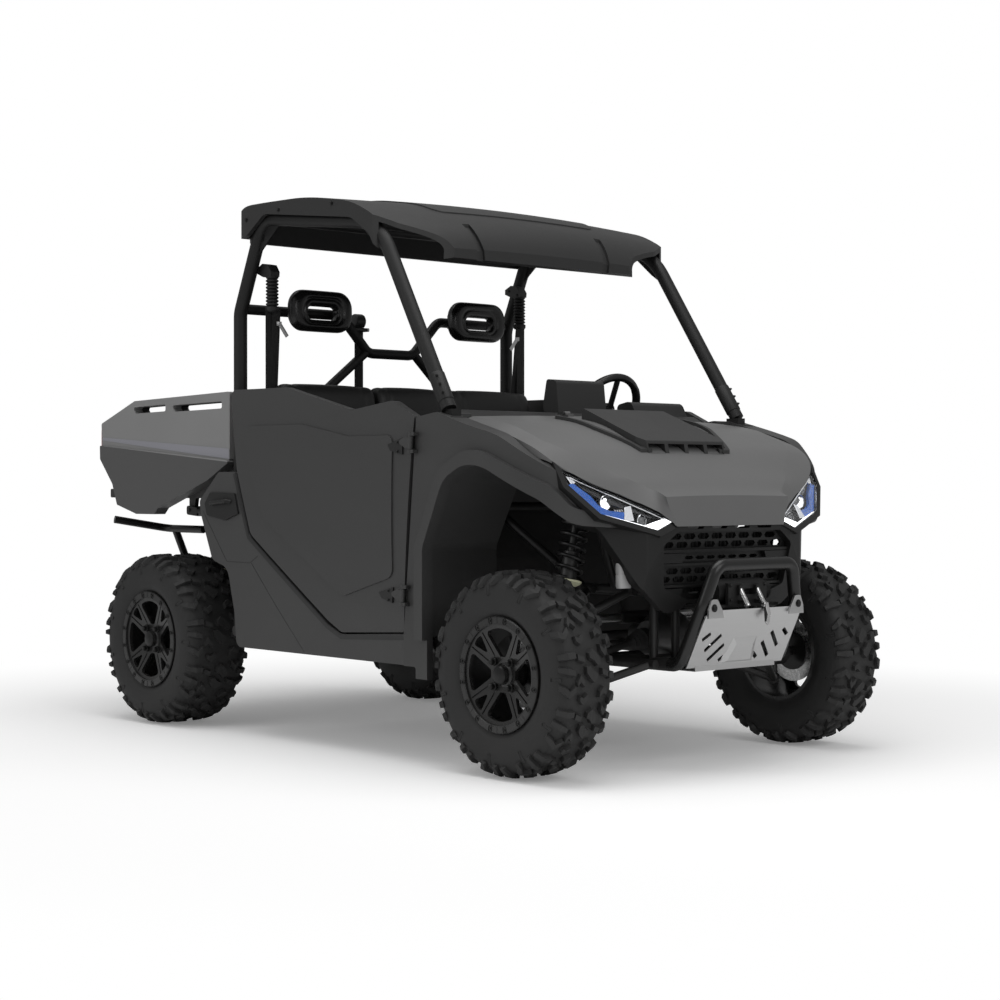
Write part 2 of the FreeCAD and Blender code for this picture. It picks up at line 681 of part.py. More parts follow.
def hood_scoop():
    """Raised air scoop with four front slots and low trays at its sides."""
    profile = side_prism([(fore(-224), 1170), (fore(-217), 1230, 10), (fore(90), 1110, 8),
                          (fore(106), 1040), (fore(-30), 1060)], -228, 228)
    taper = plan_prism([(fore(-230), -200, 20), (fore(60), -212, 40), (fore(120), -180, 10),
                        (fore(120), 180, 10), (fore(60), 212, 40), (fore(-230), 200, 20)], 1050, 1260)
    slots = []
    for i in range(4):
        y = -147 + i * 98
        slots.append(side_prism([(fore(50), 1072, 4), (fore(130), 1064, 4), (fore(130), 1096, 4),
                                 (fore(50), 1102, 4)], y - 40, y + 40))
    shape = profile.common(taper).cut(Part.makeCompound(slots))
    trays = []
    raised = hood_block(12, 0)
    for side in (1, -1):
        outline = plan_prism([(fore(-250), side * 196), (fore(-238), side * 330, 30), (fore(-60), side * 300, 40),
                              (fore(96), side * 226, 10), (fore(96), side * 170)], 900, 1300)
        inner = plan_prism([(fore(-262), side * 184), (fore(-226), side * 312, 30), (fore(-66), side * 284, 40),
                            (fore(84), side * 214, 10), (fore(84), side * 160)], 900, 1300)
        trays.append(raised.common(outline.cut(inner)))
    shape = fused([shape] + trays).cut(hood_envelope(SEAT_CLEARANCE))
    return max(shape.Solids, key=lambda solid: solid.Volume)


LAMP_FACE = [(632, 1002), (265, 836), (343, 806), (544, 862), (629, 958)]


def lamp_x(y, z):
    """Place of the lens face along the vehicle."""
    return fore(226) - 0.198 * (y - 544) - 0.531 * (z - 858)


def lamp_block(grow, proud):
    """The lamp's form, a raked wedge, grown round its outline and moved forward."""
    corners = []
    middle_y = sum(y for y, z in LAMP_FACE) / len(LAMP_FACE)
    middle_z = sum(z for y, z in LAMP_FACE) / len(LAMP_FACE)
    for y, z in LAMP_FACE:
        corners.append(Vector(lamp_x(y, z), y, z))
    face = Part.Face(Part.makePolygon(corners + [corners[0]]))
    if grow:
        normal = face.normalAt(0, 0)
        if normal.x < 0:
            normal = normal * -1
        face = Part.Face(face.OuterWire.makeOffset2D(grow, 2, False, False, True))
        face.translate(normal * proud)
    middle = Vector(lamp_x(middle_y, middle_z), middle_y, middle_z)
    deep = Vector(-80 - 2 * grow, -14, -30)
    block = face.extrude(deep)
    if not block.isInside(middle + deep * 0.5, 1, True):
        return face.extrude(deep * -1)
    return block


def headlight():
    """Left headlight: a raked wedge with a clear lens at the front."""
    return lamp_block(0, 0)


def front_fascia():
    """Nose moulding under the hood: columns, cheeks, lip slots and the mouth with its lattice."""
    half = [(262, 829, 0), (300, 812, 6), (345, 797, 10), (535, 850, 10), (497, 786, 12), (405, 620, 50),
            (305, 545, 16), (262, 532, 12), (206, 545, 8), (184, 562, 4)]
    outline = half + [(-y, z, bend) for y, z, bend in reversed(half)]
    block = front_prism(outline, fore(172), fore(320))
    plan = [(fore(60), 540, 0), (fore(184), 512, 20), (fore(282), 386, 20), (fore(298), 310, 30), (fore(305), 0, 0)]
    shape = plan_prism(plan + [(x, -y, bend) for x, y, bend in reversed(plan[:-1])], 500, 900)
    wall = 26
    hollow = plan_prism([(x - wall * 0.8, y - wall * 0.8, bend) if y else (x - wall, 0, 0) for x, y, bend in plan]
                        + [(x - wall * 0.8, wall * 0.8 - y, bend) for x, y, bend in reversed(plan[:-1])], 400, 900)
    lean = [(fore(20), 400), (fore(FASCIA_FOOT), 500), (fore(308), 850), (fore(20), 900)]
    body = block.common(shape).common(side_prism(lean, -600, 600))
    inner = [(x - wall if x > fore(100) else x - 10, z) for x, z in lean]
    body = body.cut(hollow.common(side_prism(inner, -600, 600)))
    mouth = mouth_outline(0)
    body = body.cut(front_prism(mouth, fore(150), fore(330)))
    slots = []
    for i in range(4):
        y = (i - 1.5) * 115
        slots.append(front_prism([(y - 42, 824), (y - 34, 811), (y + 34, 811), (y + 42, 824)], fore(270), fore(330)))
    return fused([body.cut(Part.makeCompound(slots)), grille()])


def mouth_outline(grow):
    """Corners of the mouth in the nose, seen from the front."""
    return [(-176, 574 - grow, 20), (176, 574 - grow, 20), (300 + grow, 615, 20), (322 + grow, 757, 20),
            (258, 802 + grow, 10), (-258, 802 + grow, 10), (-322 - grow, 757, 20), (-300 - grow, 615, 20)]


def grille():
    """Leaning lattice plate in the mouth with stepped bars across it."""

    def slab(back, thickness, z0, z1):
        """A leaning slab behind the front face, between two heights."""
        slope = (308 - FASCIA_FOOT) / 350
        x0 = fore(FASCIA_FOOT + slope * (z0 - 500)) - back
        x1 = fore(FASCIA_FOOT + slope * (z1 - 500)) - back
        return side_prism([(x0, z0), (x0 - thickness, z0), (x1 - thickness, z1), (x1, z1)], -340, 340)

    outline = front_prism(mouth_outline(8), fore(100), fore(330))
    plate = slab(30, 10, 560, 812).common(outline)
    holes = []
    for z, count, wide, tall in ((786, 8, 29, 10), (758, 9, 29, 10), (714, 7, 22, 6), (670, 8, 29, 10),
                                 (642, 9, 29, 10), (600, 4, 34, 8)):
        pitch = 2 * wide + 10
        for i in range(count):
            y = (i - (count - 1) / 2) * pitch
            holes.append(front_prism([(y - wide, z), (y - wide + 9, z - tall), (y + wide - 9, z - tall), (y + wide, z),
                                      (y + wide - 9, z + tall), (y - wide + 9, z + tall)], fore(180), fore(320)))
    plate = plate.cut(Part.makeCompound(holes))
    bars = [slab(12, 24, 732, 742), slab(14, 20, 688, 696), slab(12, 24, 616, 624)]
    for side in (1, -1):
        for z0, z1 in ((698, 730), (578, 612)):
            blank = slab(10, 24, z0, z1)
            step = front_prism([(side * 214, z0), (side * 330, z0), (side * 330, z1), (side * 196, z1)],
                               fore(150), fore(330))
            bars.append(blank.common(step))
    return fused([plate] + [bar.common(outline) for bar in bars])


def bumper_loop():
    """Bent loop bar over the winch with its two feet."""
    return loop_tube(LOOP_RADIUS)


def loop_tube(radius):
    x = fore(FRONT_OVERHANG) - LOOP_RADIUS
    foot = fore(RAIL_NOSE) + SEAT_CLEARANCE
    path = [(foot, RAIL_Y, RAIL_Z), (foot + 42, RAIL_Y, RAIL_Z), (x - 22, 232, 562), (x, 190, 693)]
    path += [opposite(p) for p in reversed(path)]
    return bent_tube(path, radius, 50)


def skid_plate():
    """Bright bent plate under the nose, with diagonal slots, a raised centre and an eared top."""
    x = fore(FRONT_OVERHANG)
    side = side_prism([(x - 112, 350), (x - 16, 545, 20), (x - 18, 556), (x - 24, 556), (x - 22, 545, 26),
                       (x - 118, 350)], -240, 240)
    outline = front_prism([(-250, 340), (250, 340), (238, 528, 10), (205, 556, 10), (172, 545, 8),
                           (-172, 545, 8), (-205, 556, 10), (-238, 528, 10)], x - 200, x)
    plate = side.common(outline)
    slots = []
    for mirror in (1, -1):
        for y0, z0, y1, z1 in ((65, 392, 96, 370), (96, 426, 152, 373), (127, 460, 183, 407), (183, 467, 214, 445)):
            slots.append(front_prism([(mirror * (y0 - 5), z0 - 5, 3), (mirror * (y0 + 5), z0 + 5, 3),
                                      (mirror * (y1 + 5), z1 + 5, 3), (mirror * (y1 - 5), z1 - 5, 3)], x - 200, x))

    def plate_x(z):
        """Front face of the sloping part at a height."""
        return x - 112 + (z - 350) * 96 / 195

    low = [Vector(plate_x(z) - 2, y, z) for y, z in ((-84, 360), (84, 360), (62, 452), (-62, 452))]
    high = [Vector(plate_x(z) + 9, y, z) for y, z in ((-58, 366), (58, 366), (42, 424), (-42, 424))]
    emboss = Part.makeLoft([Part.makePolygon(loop + [loop[0]]) for loop in (low, high)], True, True)
    ear = front_prism([(166, 520), (240, 520), (238, 548, 8), (224, 582, 10), (196, 582, 10), (172, 545, 6)],
                      x - 19, x - 12)
    holes = [rod((x - 60, y, 554), (x + 10, y, 554), 7) for y in (-212, 212)]
    top = RAIL_Z - BEAM_RADIUS + 4 - SEAT_CLEARANCE
    flange = fused([box(x - 240, x - 113, -200, 200, top - 4, top), box(x - 117, x - 109, -200, 200, top - 4, 358)])
    shape = fused([plate.cut(Part.makeCompound(slots)), ear, mirrored(ear), emboss, flange])
    shape = shape.cut(Part.makeCompound(holes))
    cut = shape.cut(loop_tube(LOOP_RADIUS + SEAT_CLEARANCE))
    return max(cut.Solids, key=lambda solid: solid.Volume)


def winch():
    """Winch with its drum housing, fairlead frame, two leaning rollers and the hook."""
    x = fore(316)
    body = rod((x, -120, WINCH_Z), (x, 120, WINCH_Z), WINCH_RADIUS)
    motor = rod((x, 92, WINCH_Z), (x, 150, WINCH_Z), WINCH_RADIUS - 8)
    neck = box(x + 10, fore(364), -60, 60, WINCH_Z - 18, WINCH_Z + 22)
    frame_box = box(fore(362), fore(376), -96, 96, WINCH_Z - 42, WINCH_Z + 30)
    slot = box(fore(300), fore(380), -30, 30, WINCH_Z - 10, WINCH_Z + 10)
    pieces = [body, motor, fused([neck, frame_box]).cut(slot)]
    top = (fore(375), WINCH_Z + 15)
    low = (fore(414), WINCH_Z - 46)
    for y in (-42, 42):
        pieces.append(rod((top[0], y, top[1]), (low[0], y, low[1]), 9))
        pieces.append(box(fore(372), fore(388), y - 12, y + 12, WINCH_Z - 8, WINCH_Z + 22))
        pieces.append(box(fore(372), fore(404), y - 7, y + 7, WINCH_Z - 40, WINCH_Z - 28))
    hook = front_prism([(34, low[1] + 6, 3), (50, low[1] + 10, 3), (62, low[1] - 30, 10), (52, low[1] - 66, 5),
                        (40, low[1] - 56, 4)], low[0] + 3, low[0] + 10)
    eye = rod((low[0] - 10, 51, low[1] - 50), (low[0] + 20, 51, low[1] - 50), 5)
    return fused(pieces + [hook.cut(eye)])


# Cab

def floor_pan():
    """Cab floor with the toe board and the centre tunnel."""
    t = FLOOR_THICKNESS
    floor = box(aft(560), fore(-450), -610, 610, FLOOR_TOP - t, FLOOR_TOP)
    wide = box(aft(570), fore(-500), -706, 706, FLOOR_TOP - t, FLOOR_TOP)
    toe = side_prism([(fore(-450), FLOOR_TOP - t), (fore(-430), FLOOR_TOP - t), (fore(-432), 700, 40),
                      (fore(-466), 890), (fore(-478), 890), (fore(-446), 700, 30), (fore(-450), 440)], -610, 610)
    tunnel = side_prism([(aft(997), FLOOR_TOP - 1), (fore(-448), FLOOR_TOP - 1), (fore(-448), 540, 30),
                         (aft(997), 540, 30)], -110, 110)
    return fused([floor, wide, toe, tunnel])


def dash():
    """Dashboard across the cab with the driver's hump, the screen housing and the hood's hinge ears."""
    bottom = DASH_BAR_Z + BEAM_RADIUS - 6 + SEAT_CLEARANCE
    profile = [(fore(-325), 1130), (fore(-325), 1168, 10), (fore(-440), 1222, 30), (fore(-545), 1186, 20),
               (fore(-570), 1100, 30), (fore(-520), bottom, 20), (fore(-430), bottom)]
    beam = side_prism(profile, -612, 612)
    hump = side_prism([(fore(-430), 1200), (fore(-470), 1275, 30), (fore(-540), 1262, 20), (fore(-556), 1150)],
                      300, 580)
    shelf = box(fore(-580), fore(-500), -560, -200, 1010, 1090)
    x, z = hood_hinge_line()
    ears = []
    for y in (-170, 170):
        for side in (-1, 1):
            ears.append(box(x - 26, x + 2, y + side * 17 - 3, y + side * 17 + 3, 1140, z + 5))
        ears.append(rod((x, y - 20, z), (x, y + 20, z), 4))
    pod = side_prism([(fore(-470), 1170), (fore(-490), 1340, 14), (fore(-540), 1348, 12), (fore(-560), 1250, 10),
                      (fore(-535), 1150)], -68, 178)
    return fused([beam, hump, pod] + ears).cut(shelf)


def column_direction():
    tilt = math.radians(STEERING_TILT_DEG)
    return Vector(-math.cos(tilt), 0, math.sin(tilt))


def steering_column():
    """Fixed column from the dashboard to just below the wheel."""
    centre = Vector(fore(STEERING_CENTRE[0]), STEERING_CENTRE[1], STEERING_CENTRE[2])
    toward = column_direction()
    start = centre - toward * 53.5
    return Part.makeCylinder(26, 130, start - toward * 130, toward).cut(dash())


def steering_wheel():
    """Rim, three spokes and hub on the column's axis."""
    centre = Vector(fore(STEERING_CENTRE[0]), STEERING_CENTRE[1], STEERING_CENTRE[2])
    toward = column_direction()
    rim = Part.makeTorus(STEERING_RADIUS - 15, 15, centre, toward)
    hub = Part.makeCylinder(38, 46, centre - toward * 53, toward)
    up = toward.cross(Vector(0, 1, 0))
    spokes = []
    for angle in (90, 200, 340):
        turn = math.radians(angle)
        tip = Vector(0, 1, 0) * math.cos(turn) - up * math.sin(turn)
        spokes.append(rod(tuple(centre - toward * 22), tuple(centre + tip * (STEERING_RADIUS - 16)), 11))
    return fused([rim, hub] + spokes)


def seat_box():
    """Housing under the seats, open below."""
    outer = side_prism([(aft(566), FLOOR_TOP + SEAT_CLEARANCE), (aft(976), FLOOR_TOP + SEAT_CLEARANCE),
                        (aft(1010), SEAT_BOX_TOP + 30, 0), (aft(566), SEAT_BOX_TOP, 0)], -604, 604)
    inner = side_prism([(aft(580), FLOOR_TOP - 10), (aft(962), FLOOR_TOP - 10), (aft(994), SEAT_BOX_TOP + 16, 30),
                        (aft(580), SEAT_BOX_TOP - 12, 10)], -590, 590)
    return outer.cut(inner)


SEAT_SPANS = [(-634, -191), (-178, 178), (191, 634)]


def seats():
    """Three seat cushions and three backs."""
    solids = []

    def base(x):
        return SEAT_BOX_TOP + (x - aft(566)) * 30 / 444 + SEAT_CLEARANCE

    for y0, y1 in SEAT_SPANS:
        trim = 13 if y1 - y0 > 400 else 2
        solids.append(side_prism([
            (aft(684), base(aft(684))), (aft(1008), base(aft(1008))), (aft(1096), 712, 20),
            (aft(1104), 790, 36), (aft(1040), 826, 50), (aft(684), 790, 20)], y0 + trim, y1 - trim))
        solids.append(side_prism([
            (aft(590), base(aft(590))), (aft(676), base(aft(676))), (aft(676), 822), (aft(764), 846, 10),
            (aft(756), 900, 60), (aft(700), 1352, 30), (aft(640), 1364, 24), (aft(592), 1340, 30),
            (aft(596), 1000, 60)], y0, y1))
    return Part.makeCompound(solids)


# Frame and driveline

def frame():
    """Welded tube frame that carries the body, suspension, bed and driveline."""
    r = BEAM_RADIUS
    thin = r - 4
    slim = r - 7
    nose_x = fore(RAIL_NOSE) - thin - 2
    bars = []
    for s in (1, -1):
        y = s * RAIL_Y
        bars.append(rod((aft(RAIL_TAIL), y, RAIL_Z), (fore(RAIL_NOSE), y, RAIL_Z), r))
        bars.append(rod((fore(-170), y, 600), (fore(200), y, 600), thin))
        for dx in (-150, 180):
            bars.append(rod((fore(dx), y, RAIL_Z), (fore(dx), y, 600), slim))
        bars.append(rod((fore(0), y, 600), (fore(0), s * 360, 905), slim))
        bars.append(rod((fore(-150), y, 600), (fore(-440), s * 420, DASH_BAR_Z), slim))
        bars.append(rod((fore(204), s * 170, RAIL_Z), (fore(204), s * 170, 640), thin - 4))
        sill = s * SILL_TUBE_Y
        bars.append(rod((aft(CAGE_PILLAR - 26), sill, SILL_TUBE_Z), (fore(-474), sill, SILL_TUBE_Z), r))
        bars.append(bent_tube([(fore(-474), sill, SILL_TUBE_Z - 6), (fore(-440), sill, DASH_BAR_Z),
                               (fore(CAGE_FRONT - 6), s * 720, 1110), (fore(CAGE_FRONT - 6), s * 720, 1170 - SEAT_CLEARANCE)],
                              thin, 60))
        rail = s * BED_RAIL_Y
        bars.append(rod((aft(-410), rail, BED_RAIL_Z), (aft(532), rail, BED_RAIL_Z), r))
        for dx in (-180, 200):
            bars.append(rod((aft(dx), y, RAIL_Z), (aft(dx), rail, BED_RAIL_Z), thin))
        bars.append(rod((aft(0), rail, BED_RAIL_Z), (aft(0), s * 442, BED_RAIL_Z - 9), thin))
    for x, reach in ((fore(-474), SILL_TUBE_Y), (aft(980), SILL_TUBE_Y), (aft(CAGE_PILLAR), CAGE_Y + CAGE_RADIUS)):
        bars.append(rod((x, -reach, SILL_TUBE_Z), (x, reach, SILL_TUBE_Z), r - 2))
    reach = box_bar_reach()
    for x in (aft(-280), aft(250), aft(430), fore(-reach), fore(reach), fore(204), nose_x):
        bars.append(rod((x, -RAIL_Y, RAIL_Z), (x, RAIL_Y, RAIL_Z), thin))
    for x in (aft(-390), aft(-250), aft(500)):
        bars.append(rod((x, -BED_RAIL_Y, BED_RAIL_Z), (x, BED_RAIL_Y, BED_RAIL_Z), thin))
    bars.append(rod((fore(0), -444, 905), (fore(0), 444, 905), thin))
    bars.append(rod((fore(-440), -SILL_TUBE_Y, DASH_BAR_Z), (fore(-440), SILL_TUBE_Y, DASH_BAR_Z), r - 6))
    rack_x = fore(-STEER_ARM)
    bars.append(rod((rack_x, -RAIL_Y, 600), (rack_x, RAIL_Y, 600), slim))
    sleeve = rod((rack_x, -120, RACK_Z), (rack_x, 120, RACK_Z), RACK_RADIUS + 8)
    for y in (-100, 100):
        bars.append(box(rack_x - 6, rack_x + 6, y - 14, y + 14, RACK_Z + 16, 590))
    bars.append(sleeve)
    tray_top = WINCH_Z - WINCH_RADIUS - SEAT_CLEARANCE
    bars.append(box(fore(196), fore(360), -176, 176, tray_top - 10, tray_top))
    shape = fused(bars)
    clevis = []
    hinge_x = aft(BED_HINGE_X)
    for s in (1, -1):
        for gap in (-1, 1):
            y = s * BED_RAIL_Y + gap * 17
            plate = side_prism([(hinge_x - 20, BED_HINGE_Z - 20, 12), (hinge_x + 60, BED_HINGE_Z - 26, 4),
                                (hinge_x + 60, BED_HINGE_Z + 10, 4), (hinge_x - 20, BED_HINGE_Z + 20, 12)],
                               y - 5, y + 5)
            clevis.append(plate)
        pin = rod((hinge_x, s * BED_RAIL_Y - 26, BED_HINGE_Z), (hinge_x, s * BED_RAIL_Y + 26, BED_HINGE_Z), PIN_RADIUS)
        clevis.append(pin)
    bore = rod((rack_x, -130, RACK_Z), (rack_x, 130, RACK_Z), RACK_RADIUS + PIN_CLEARANCE)
    return fused([shape] + clevis).cut(bore)


def box_bar_reach():
    """How far before and behind the front axle two bars cradle the round gearbox."""
    drop = FRONT_BOX_Z - RAIL_Z
    away = GEARBOX_RADIUS + BEAM_RADIUS - 4 + SEAT_CLEARANCE
    return math.sqrt(away ** 2 - drop ** 2)


def engine():
    """Engine as one plain block under the bed's front."""
    bottom = RAIL_Z + BEAM_RADIUS - 4 + SEAT_CLEARANCE
    front = aft(CAGE_PILLAR) - BEAM_RADIUS + 2 - SEAT_CLEARANCE
    return side_prism([(aft(190), bottom, 0), (front, bottom, 0), (front, 780, 20), (aft(290), 790, 20),
                       (aft(190), 640, 20)], -200, 200)


def gearboxes():
    """Front differential and rear gearbox."""
    r = GEARBOX_RADIUS
    front = lathe([(0, -96), (58, -96, 6), (r, -40, 20), (r, 40, 20), (58, 96, 6), (0, 96)],
                  (fore(0), 0, FRONT_BOX_Z), (0, 1, 0))
    rear = lathe([(0, -110), (66, -110, 6), (r, -50, 20), (r, 50, 20), (66, 110, 6), (0, 110)],
                 (aft(0), 0, REAR_BOX_Z), (0, 1, 0))
    nose = rod((fore(-150), 0, FRONT_BOX_Z), (fore(-40), 0, FRONT_BOX_Z), 38)
    neck = rod((aft(60), 0, REAR_BOX_Z), (aft(190) - SEAT_CLEARANCE, 0, REAR_BOX_Z), 50)
    return Part.makeCompound([fused([front, nose]), fused([rear, neck])])


def muffler():
    """Round silencer across the rear under the bed."""
    r = MUFFLER_RADIUS
    z = BED_RAIL_Z - BEAM_RADIUS + 4 - r - SEAT_CLEARANCE
    return lathe([(0, -200), (r - 14, -200, 10), (r, -180, 10), (r, 180, 10), (r - 14, 200, 10), (0, 200)],
                 (aft(-250), 0, z), (0, 1, 0))


def arm(inner_front, inner_rear, outer, perch=0):
    """A triangular suspension arm between two bushes and a ball joint."""
    pieces = [rod(inner_front, outer, ARM_RADIUS), rod(inner_rear, outer, ARM_RADIUS)]
    for bush in (inner_front, inner_rear):
        pieces.append(rod((bush[0] - 25, bush[1], bush[2]), (bush[0] + 25, bush[1], bush[2]), BUSH_RADIUS))
    pieces.append(Part.makeSphere(BALL_RADIUS, Vector(*outer)))
    if perch:
        share = (outer[1] - perch) / (outer[1] - inner_front[1])
        z = outer[2] + share * (inner_front[2] - outer[2])
        reach = share * (inner_front[0] - outer[0])
        pieces.append(rod((outer[0] - reach, perch, z), (outer[0] + reach, perch, z), ARM_RADIUS - 2))
    return fused(pieces)


BUSH_Y = RAIL_Y + BEAM_RADIUS + BUSH_RADIUS + SEAT_CLEARANCE
UPPER_BUSH_Y = BUSH_Y - 4
UPPER_BALL_Z = AXLE_Z + KNUCKLE_TOP + BALL_RADIUS + SEAT_CLEARANCE


def perch_height(ball_y, bush_z, y):
    """Height of the shock's lower end on an upper arm."""
    share = (ball_y - y) / (ball_y - UPPER_BUSH_Y)
    return UPPER_BALL_Z + share * (bush_z - UPPER_BALL_Z) + ARM_RADIUS + SEAT_CLEARANCE


def suspension_arms():
    """Upper and lower arms of all four wheels, drawn for the left side."""
    y = BUSH_Y
    top = UPPER_BALL_Z
    low = AXLE_Z - KNUCKLE_BOTTOM - BALL_RADIUS - SEAT_CLEARANCE
    left = [arm((fore(200), y, RAIL_Z), (fore(-130), y, RAIL_Z), (fore(0), KINGPIN_Y, low)),
            arm((fore(100), UPPER_BUSH_Y, FRONT_BUSH_Z), (fore(-100), UPPER_BUSH_Y, FRONT_BUSH_Z),
                (fore(0), KINGPIN_Y, top), FRONT_PERCH_Y),
            arm((aft(150), y, RAIL_Z), (aft(-150), y, RAIL_Z), (aft(0), REAR_CARRIER_Y, low)),
            arm((aft(90), UPPER_BUSH_Y, REAR_BUSH_Z), (aft(-90), UPPER_BUSH_Y, REAR_BUSH_Z),
                (aft(0), REAR_CARRIER_Y, top), REAR_PERCH_Y)]
    return Part.makeCompound(left + [mirrored(a) for a in left])


def shock(top, bottom):
    """A coil-over: damper body, rod, perches and the coil as a ribbed sleeve."""
    a = Vector(*bottom)
    length = a.distanceToPoint(Vector(*top))
    coils = 8
    start = length * 0.36
    pitch = (length * 0.9 - start) / coils
    profile = [(0, 0), (13, 0), (13, length * 0.1), (22, length * 0.1), (22, start - 14), (38, start - 14),
               (38, start)]
    for i in range(coils):
        profile += [(35, start + pitch * (i + 0.2)), (35, start + pitch * (i + 0.6)),
                    (27, start + pitch * (i + 0.75)), (27, start + pitch * (i + 0.95))]
    profile += [(36, length * 0.9 + 2), (36, length * 0.93), (12, length * 0.93), (12, length), (0, length)]
    return lathe(profile, bottom, tuple(Vector(*top) - a))


def shocks():
    """Coil-over shocks of all four wheels."""
    front_z = perch_height(KINGPIN_Y, FRONT_BUSH_Z, FRONT_PERCH_Y)
    rear_z = perch_height(REAR_CARRIER_Y, REAR_BUSH_Z, REAR_PERCH_Y)
    left = [shock((fore(0), 428, 884.4), (fore(0), FRONT_PERCH_Y + 2, front_z)),
            shock((aft(0), 430, 816.6), (aft(0), REAR_PERCH_Y + 2, rear_z))]
    return Part.makeCompound(left + [mirrored(s) for s in left])


def hub_carrier(x, y, top, bottom):
    """Upright with a hub bearing, between two arm ends."""
    post = rod((x, y, bottom), (x, y, top), 13)
    bearing = rod((x, y - 6, AXLE_Z), (x, y + 36, AXLE_Z), 46)
    return fused([post, bearing])


def caliper(x, y, disc_y):
    """Brake caliper over the rear edge of the disc, on an arm from the hub bearing."""
    low = disc_y - 22
    body = lathe([(74, low), (DISC_RADIUS + 16, low), (DISC_RADIUS + 16, disc_y + 26), (74, disc_y + 26)],
                 (x, 0, AXLE_Z), (0, 1, 0))
    groove = lathe([(60, disc_y - MOVING_CLEARANCE), (DISC_RADIUS + MOVING_CLEARANCE, disc_y - MOVING_CLEARANCE),
                    (DISC_RADIUS + MOVING_CLEARANCE, disc_y + DISC_THICKNESS + MOVING_CLEARANCE),
                    (60, disc_y + DISC_THICKNESS + MOVING_CLEARANCE)], (x, 0, AXLE_Z), (0, 1, 0))
    wedge = side_prism([(x, AXLE_Z), (x - 200, AXLE_Z + 40), (x - 200, AXLE_Z + 190), (x - 60, AXLE_Z + 190)],
                       low - 20, disc_y + 40)
    arm_bar = rod((x, y, AXLE_Z), (x - 66, y, AXLE_Z + 76), 11)
    stud = rod((x - 66, y, AXLE_Z + 76), (x - 66, low + 6, AXLE_Z + 76), 10)
    return [body.cut(groove).common(wedge), arm_bar, stud]


def front_knuckle():
    """Left front knuckle with its steering arm, axle stub and brake caliper."""
    post = hub_carrier(fore(0), KINGPIN_Y, AXLE_Z + KNUCKLE_TOP, AXLE_Z - KNUCKLE_BOTTOM)
    lever = plan_prism([(fore(10), KINGPIN_Y - 14, 8), (fore(10), KINGPIN_Y + 14, 8),
                        (fore(-STEER_ARM - 14), KINGPIN_Y + 10, 8), (fore(-STEER_ARM - 14), KINGPIN_Y - 18, 8)],
                       AXLE_Z + 52, AXLE_Z + 64)
    stub = rod((fore(0), KINGPIN_Y + 30, AXLE_Z), (fore(0), FRONT_TYRE_Y + 60, AXLE_Z), 16)
    return fused([post, lever, stub] + caliper(fore(0), KINGPIN_Y + 22, FRONT_TYRE_Y - 4))


def rear_knuckles():
    """Rear hub carriers with their axle stubs and brake calipers."""
    post = hub_carrier(aft(0), REAR_CARRIER_Y, AXLE_Z + KNUCKLE_TOP, AXLE_Z - KNUCKLE_BOTTOM)
    stub = rod((aft(0), 580, AXLE_Z), (aft(0), REAR_TYRE_Y + 60, AXLE_Z), 16)
    return both_sides(fused([post, stub] + caliper(aft(0), REAR_CARRIER_Y + 22, REAR_TYRE_Y - 4)))


def half_shaft(inner, outer):
    """A drive shaft with a bellows at each end."""
    a = Vector(*inner)
    length = a.distanceToPoint(Vector(*outer))
    profile = [(0, 0), (36, 0), (36, 20)]
    for i in range(4):
        profile += [(38 - i * 4, 26 + i * 16), (26 - i * 2, 34 + i * 16)]
    profile += [(13, 96), (13, length - 88)]
    for i in range(4):
        profile += [(22 + i * 4, length - 80 + i * 16), (24 + i * 5, length - 72 + i * 16)]
    profile += [(40, length - 10), (34, length), (0, length)]
    return lathe(profile, inner, tuple(Vector(*outer) - a))


def half_shafts():
    """Drive shafts to all four wheels."""
    left = [half_shaft((fore(0), 103.8, FRONT_BOX_Z), (fore(0), KINGPIN_Y - 58, AXLE_Z + 4)),
            half_shaft((aft(0), 118.2, REAR_BOX_Z), (aft(0), 526, AXLE_Z + 2))]
    return Part.makeCompound(left + [mirrored(s) for s in left])


def steering_rack():
    """Sliding rack bar and its tie rods to the knuckle levers."""
    z = AXLE_Z + 64 + 12 + PIN_CLEARANCE
    x = fore(-STEER_ARM)
    eye = rod((x, KINGPIN_Y - 4, z - 12), (x, KINGPIN_Y - 4, z + 12), 13)
    link = rod((x, KINGPIN_Y - 8, z), (x, 232, RACK_Z), 8)
    bar = rod((x, -240, RACK_Z), (x, 240, RACK_Z), RACK_RADIUS)
    return fused([bar, eye, mirrored(eye), link, mirrored(link)])


# Wheels

def tyre(x, y, width):
    """Tyre on the left side, with its crown at full radius."""
    half = width / 2
    return lathe([(RIM_RADIUS, -half + 22), (RIM_RADIUS + 15, -half + 18.3), (RIM_RADIUS + 30, -half + 6, 6), (260, -half, 60),
                  (TYRE_RADIUS - 22, -half + 8, 16), (TYRE_RADIUS, -half + 40, 20), (TYRE_RADIUS, half - 40, 20),
                  (TYRE_RADIUS - 22, half - 8, 16), (260, half, 60), (RIM_RADIUS + 30, half - 6, 6),
                  (RIM_RADIUS + 15, half - 18.3), (RIM_RADIUS, half - 22)], (x, y, AXLE_Z), (0, 1, 0))


def wheel_window(x, outline):
    """A rounded opening through the wheel's face, from points of (radius, across, bend)."""
    return side_prism([(x + r, AXLE_Z + across, bend) for r, across, bend in outline], 400, 1000)


def disc_slope(x, y, face):
    """Space under the spokes' outer face, less the depth of their grooves."""
    deep = 3
    return lathe([(0, face - 120), (240, face - 120), (240, face + 5 - deep), (HUB_RADIUS, face - 22 - deep),
                  (0, face - 26 - deep)], (x, y, AXLE_Z), (0, 1, 0))


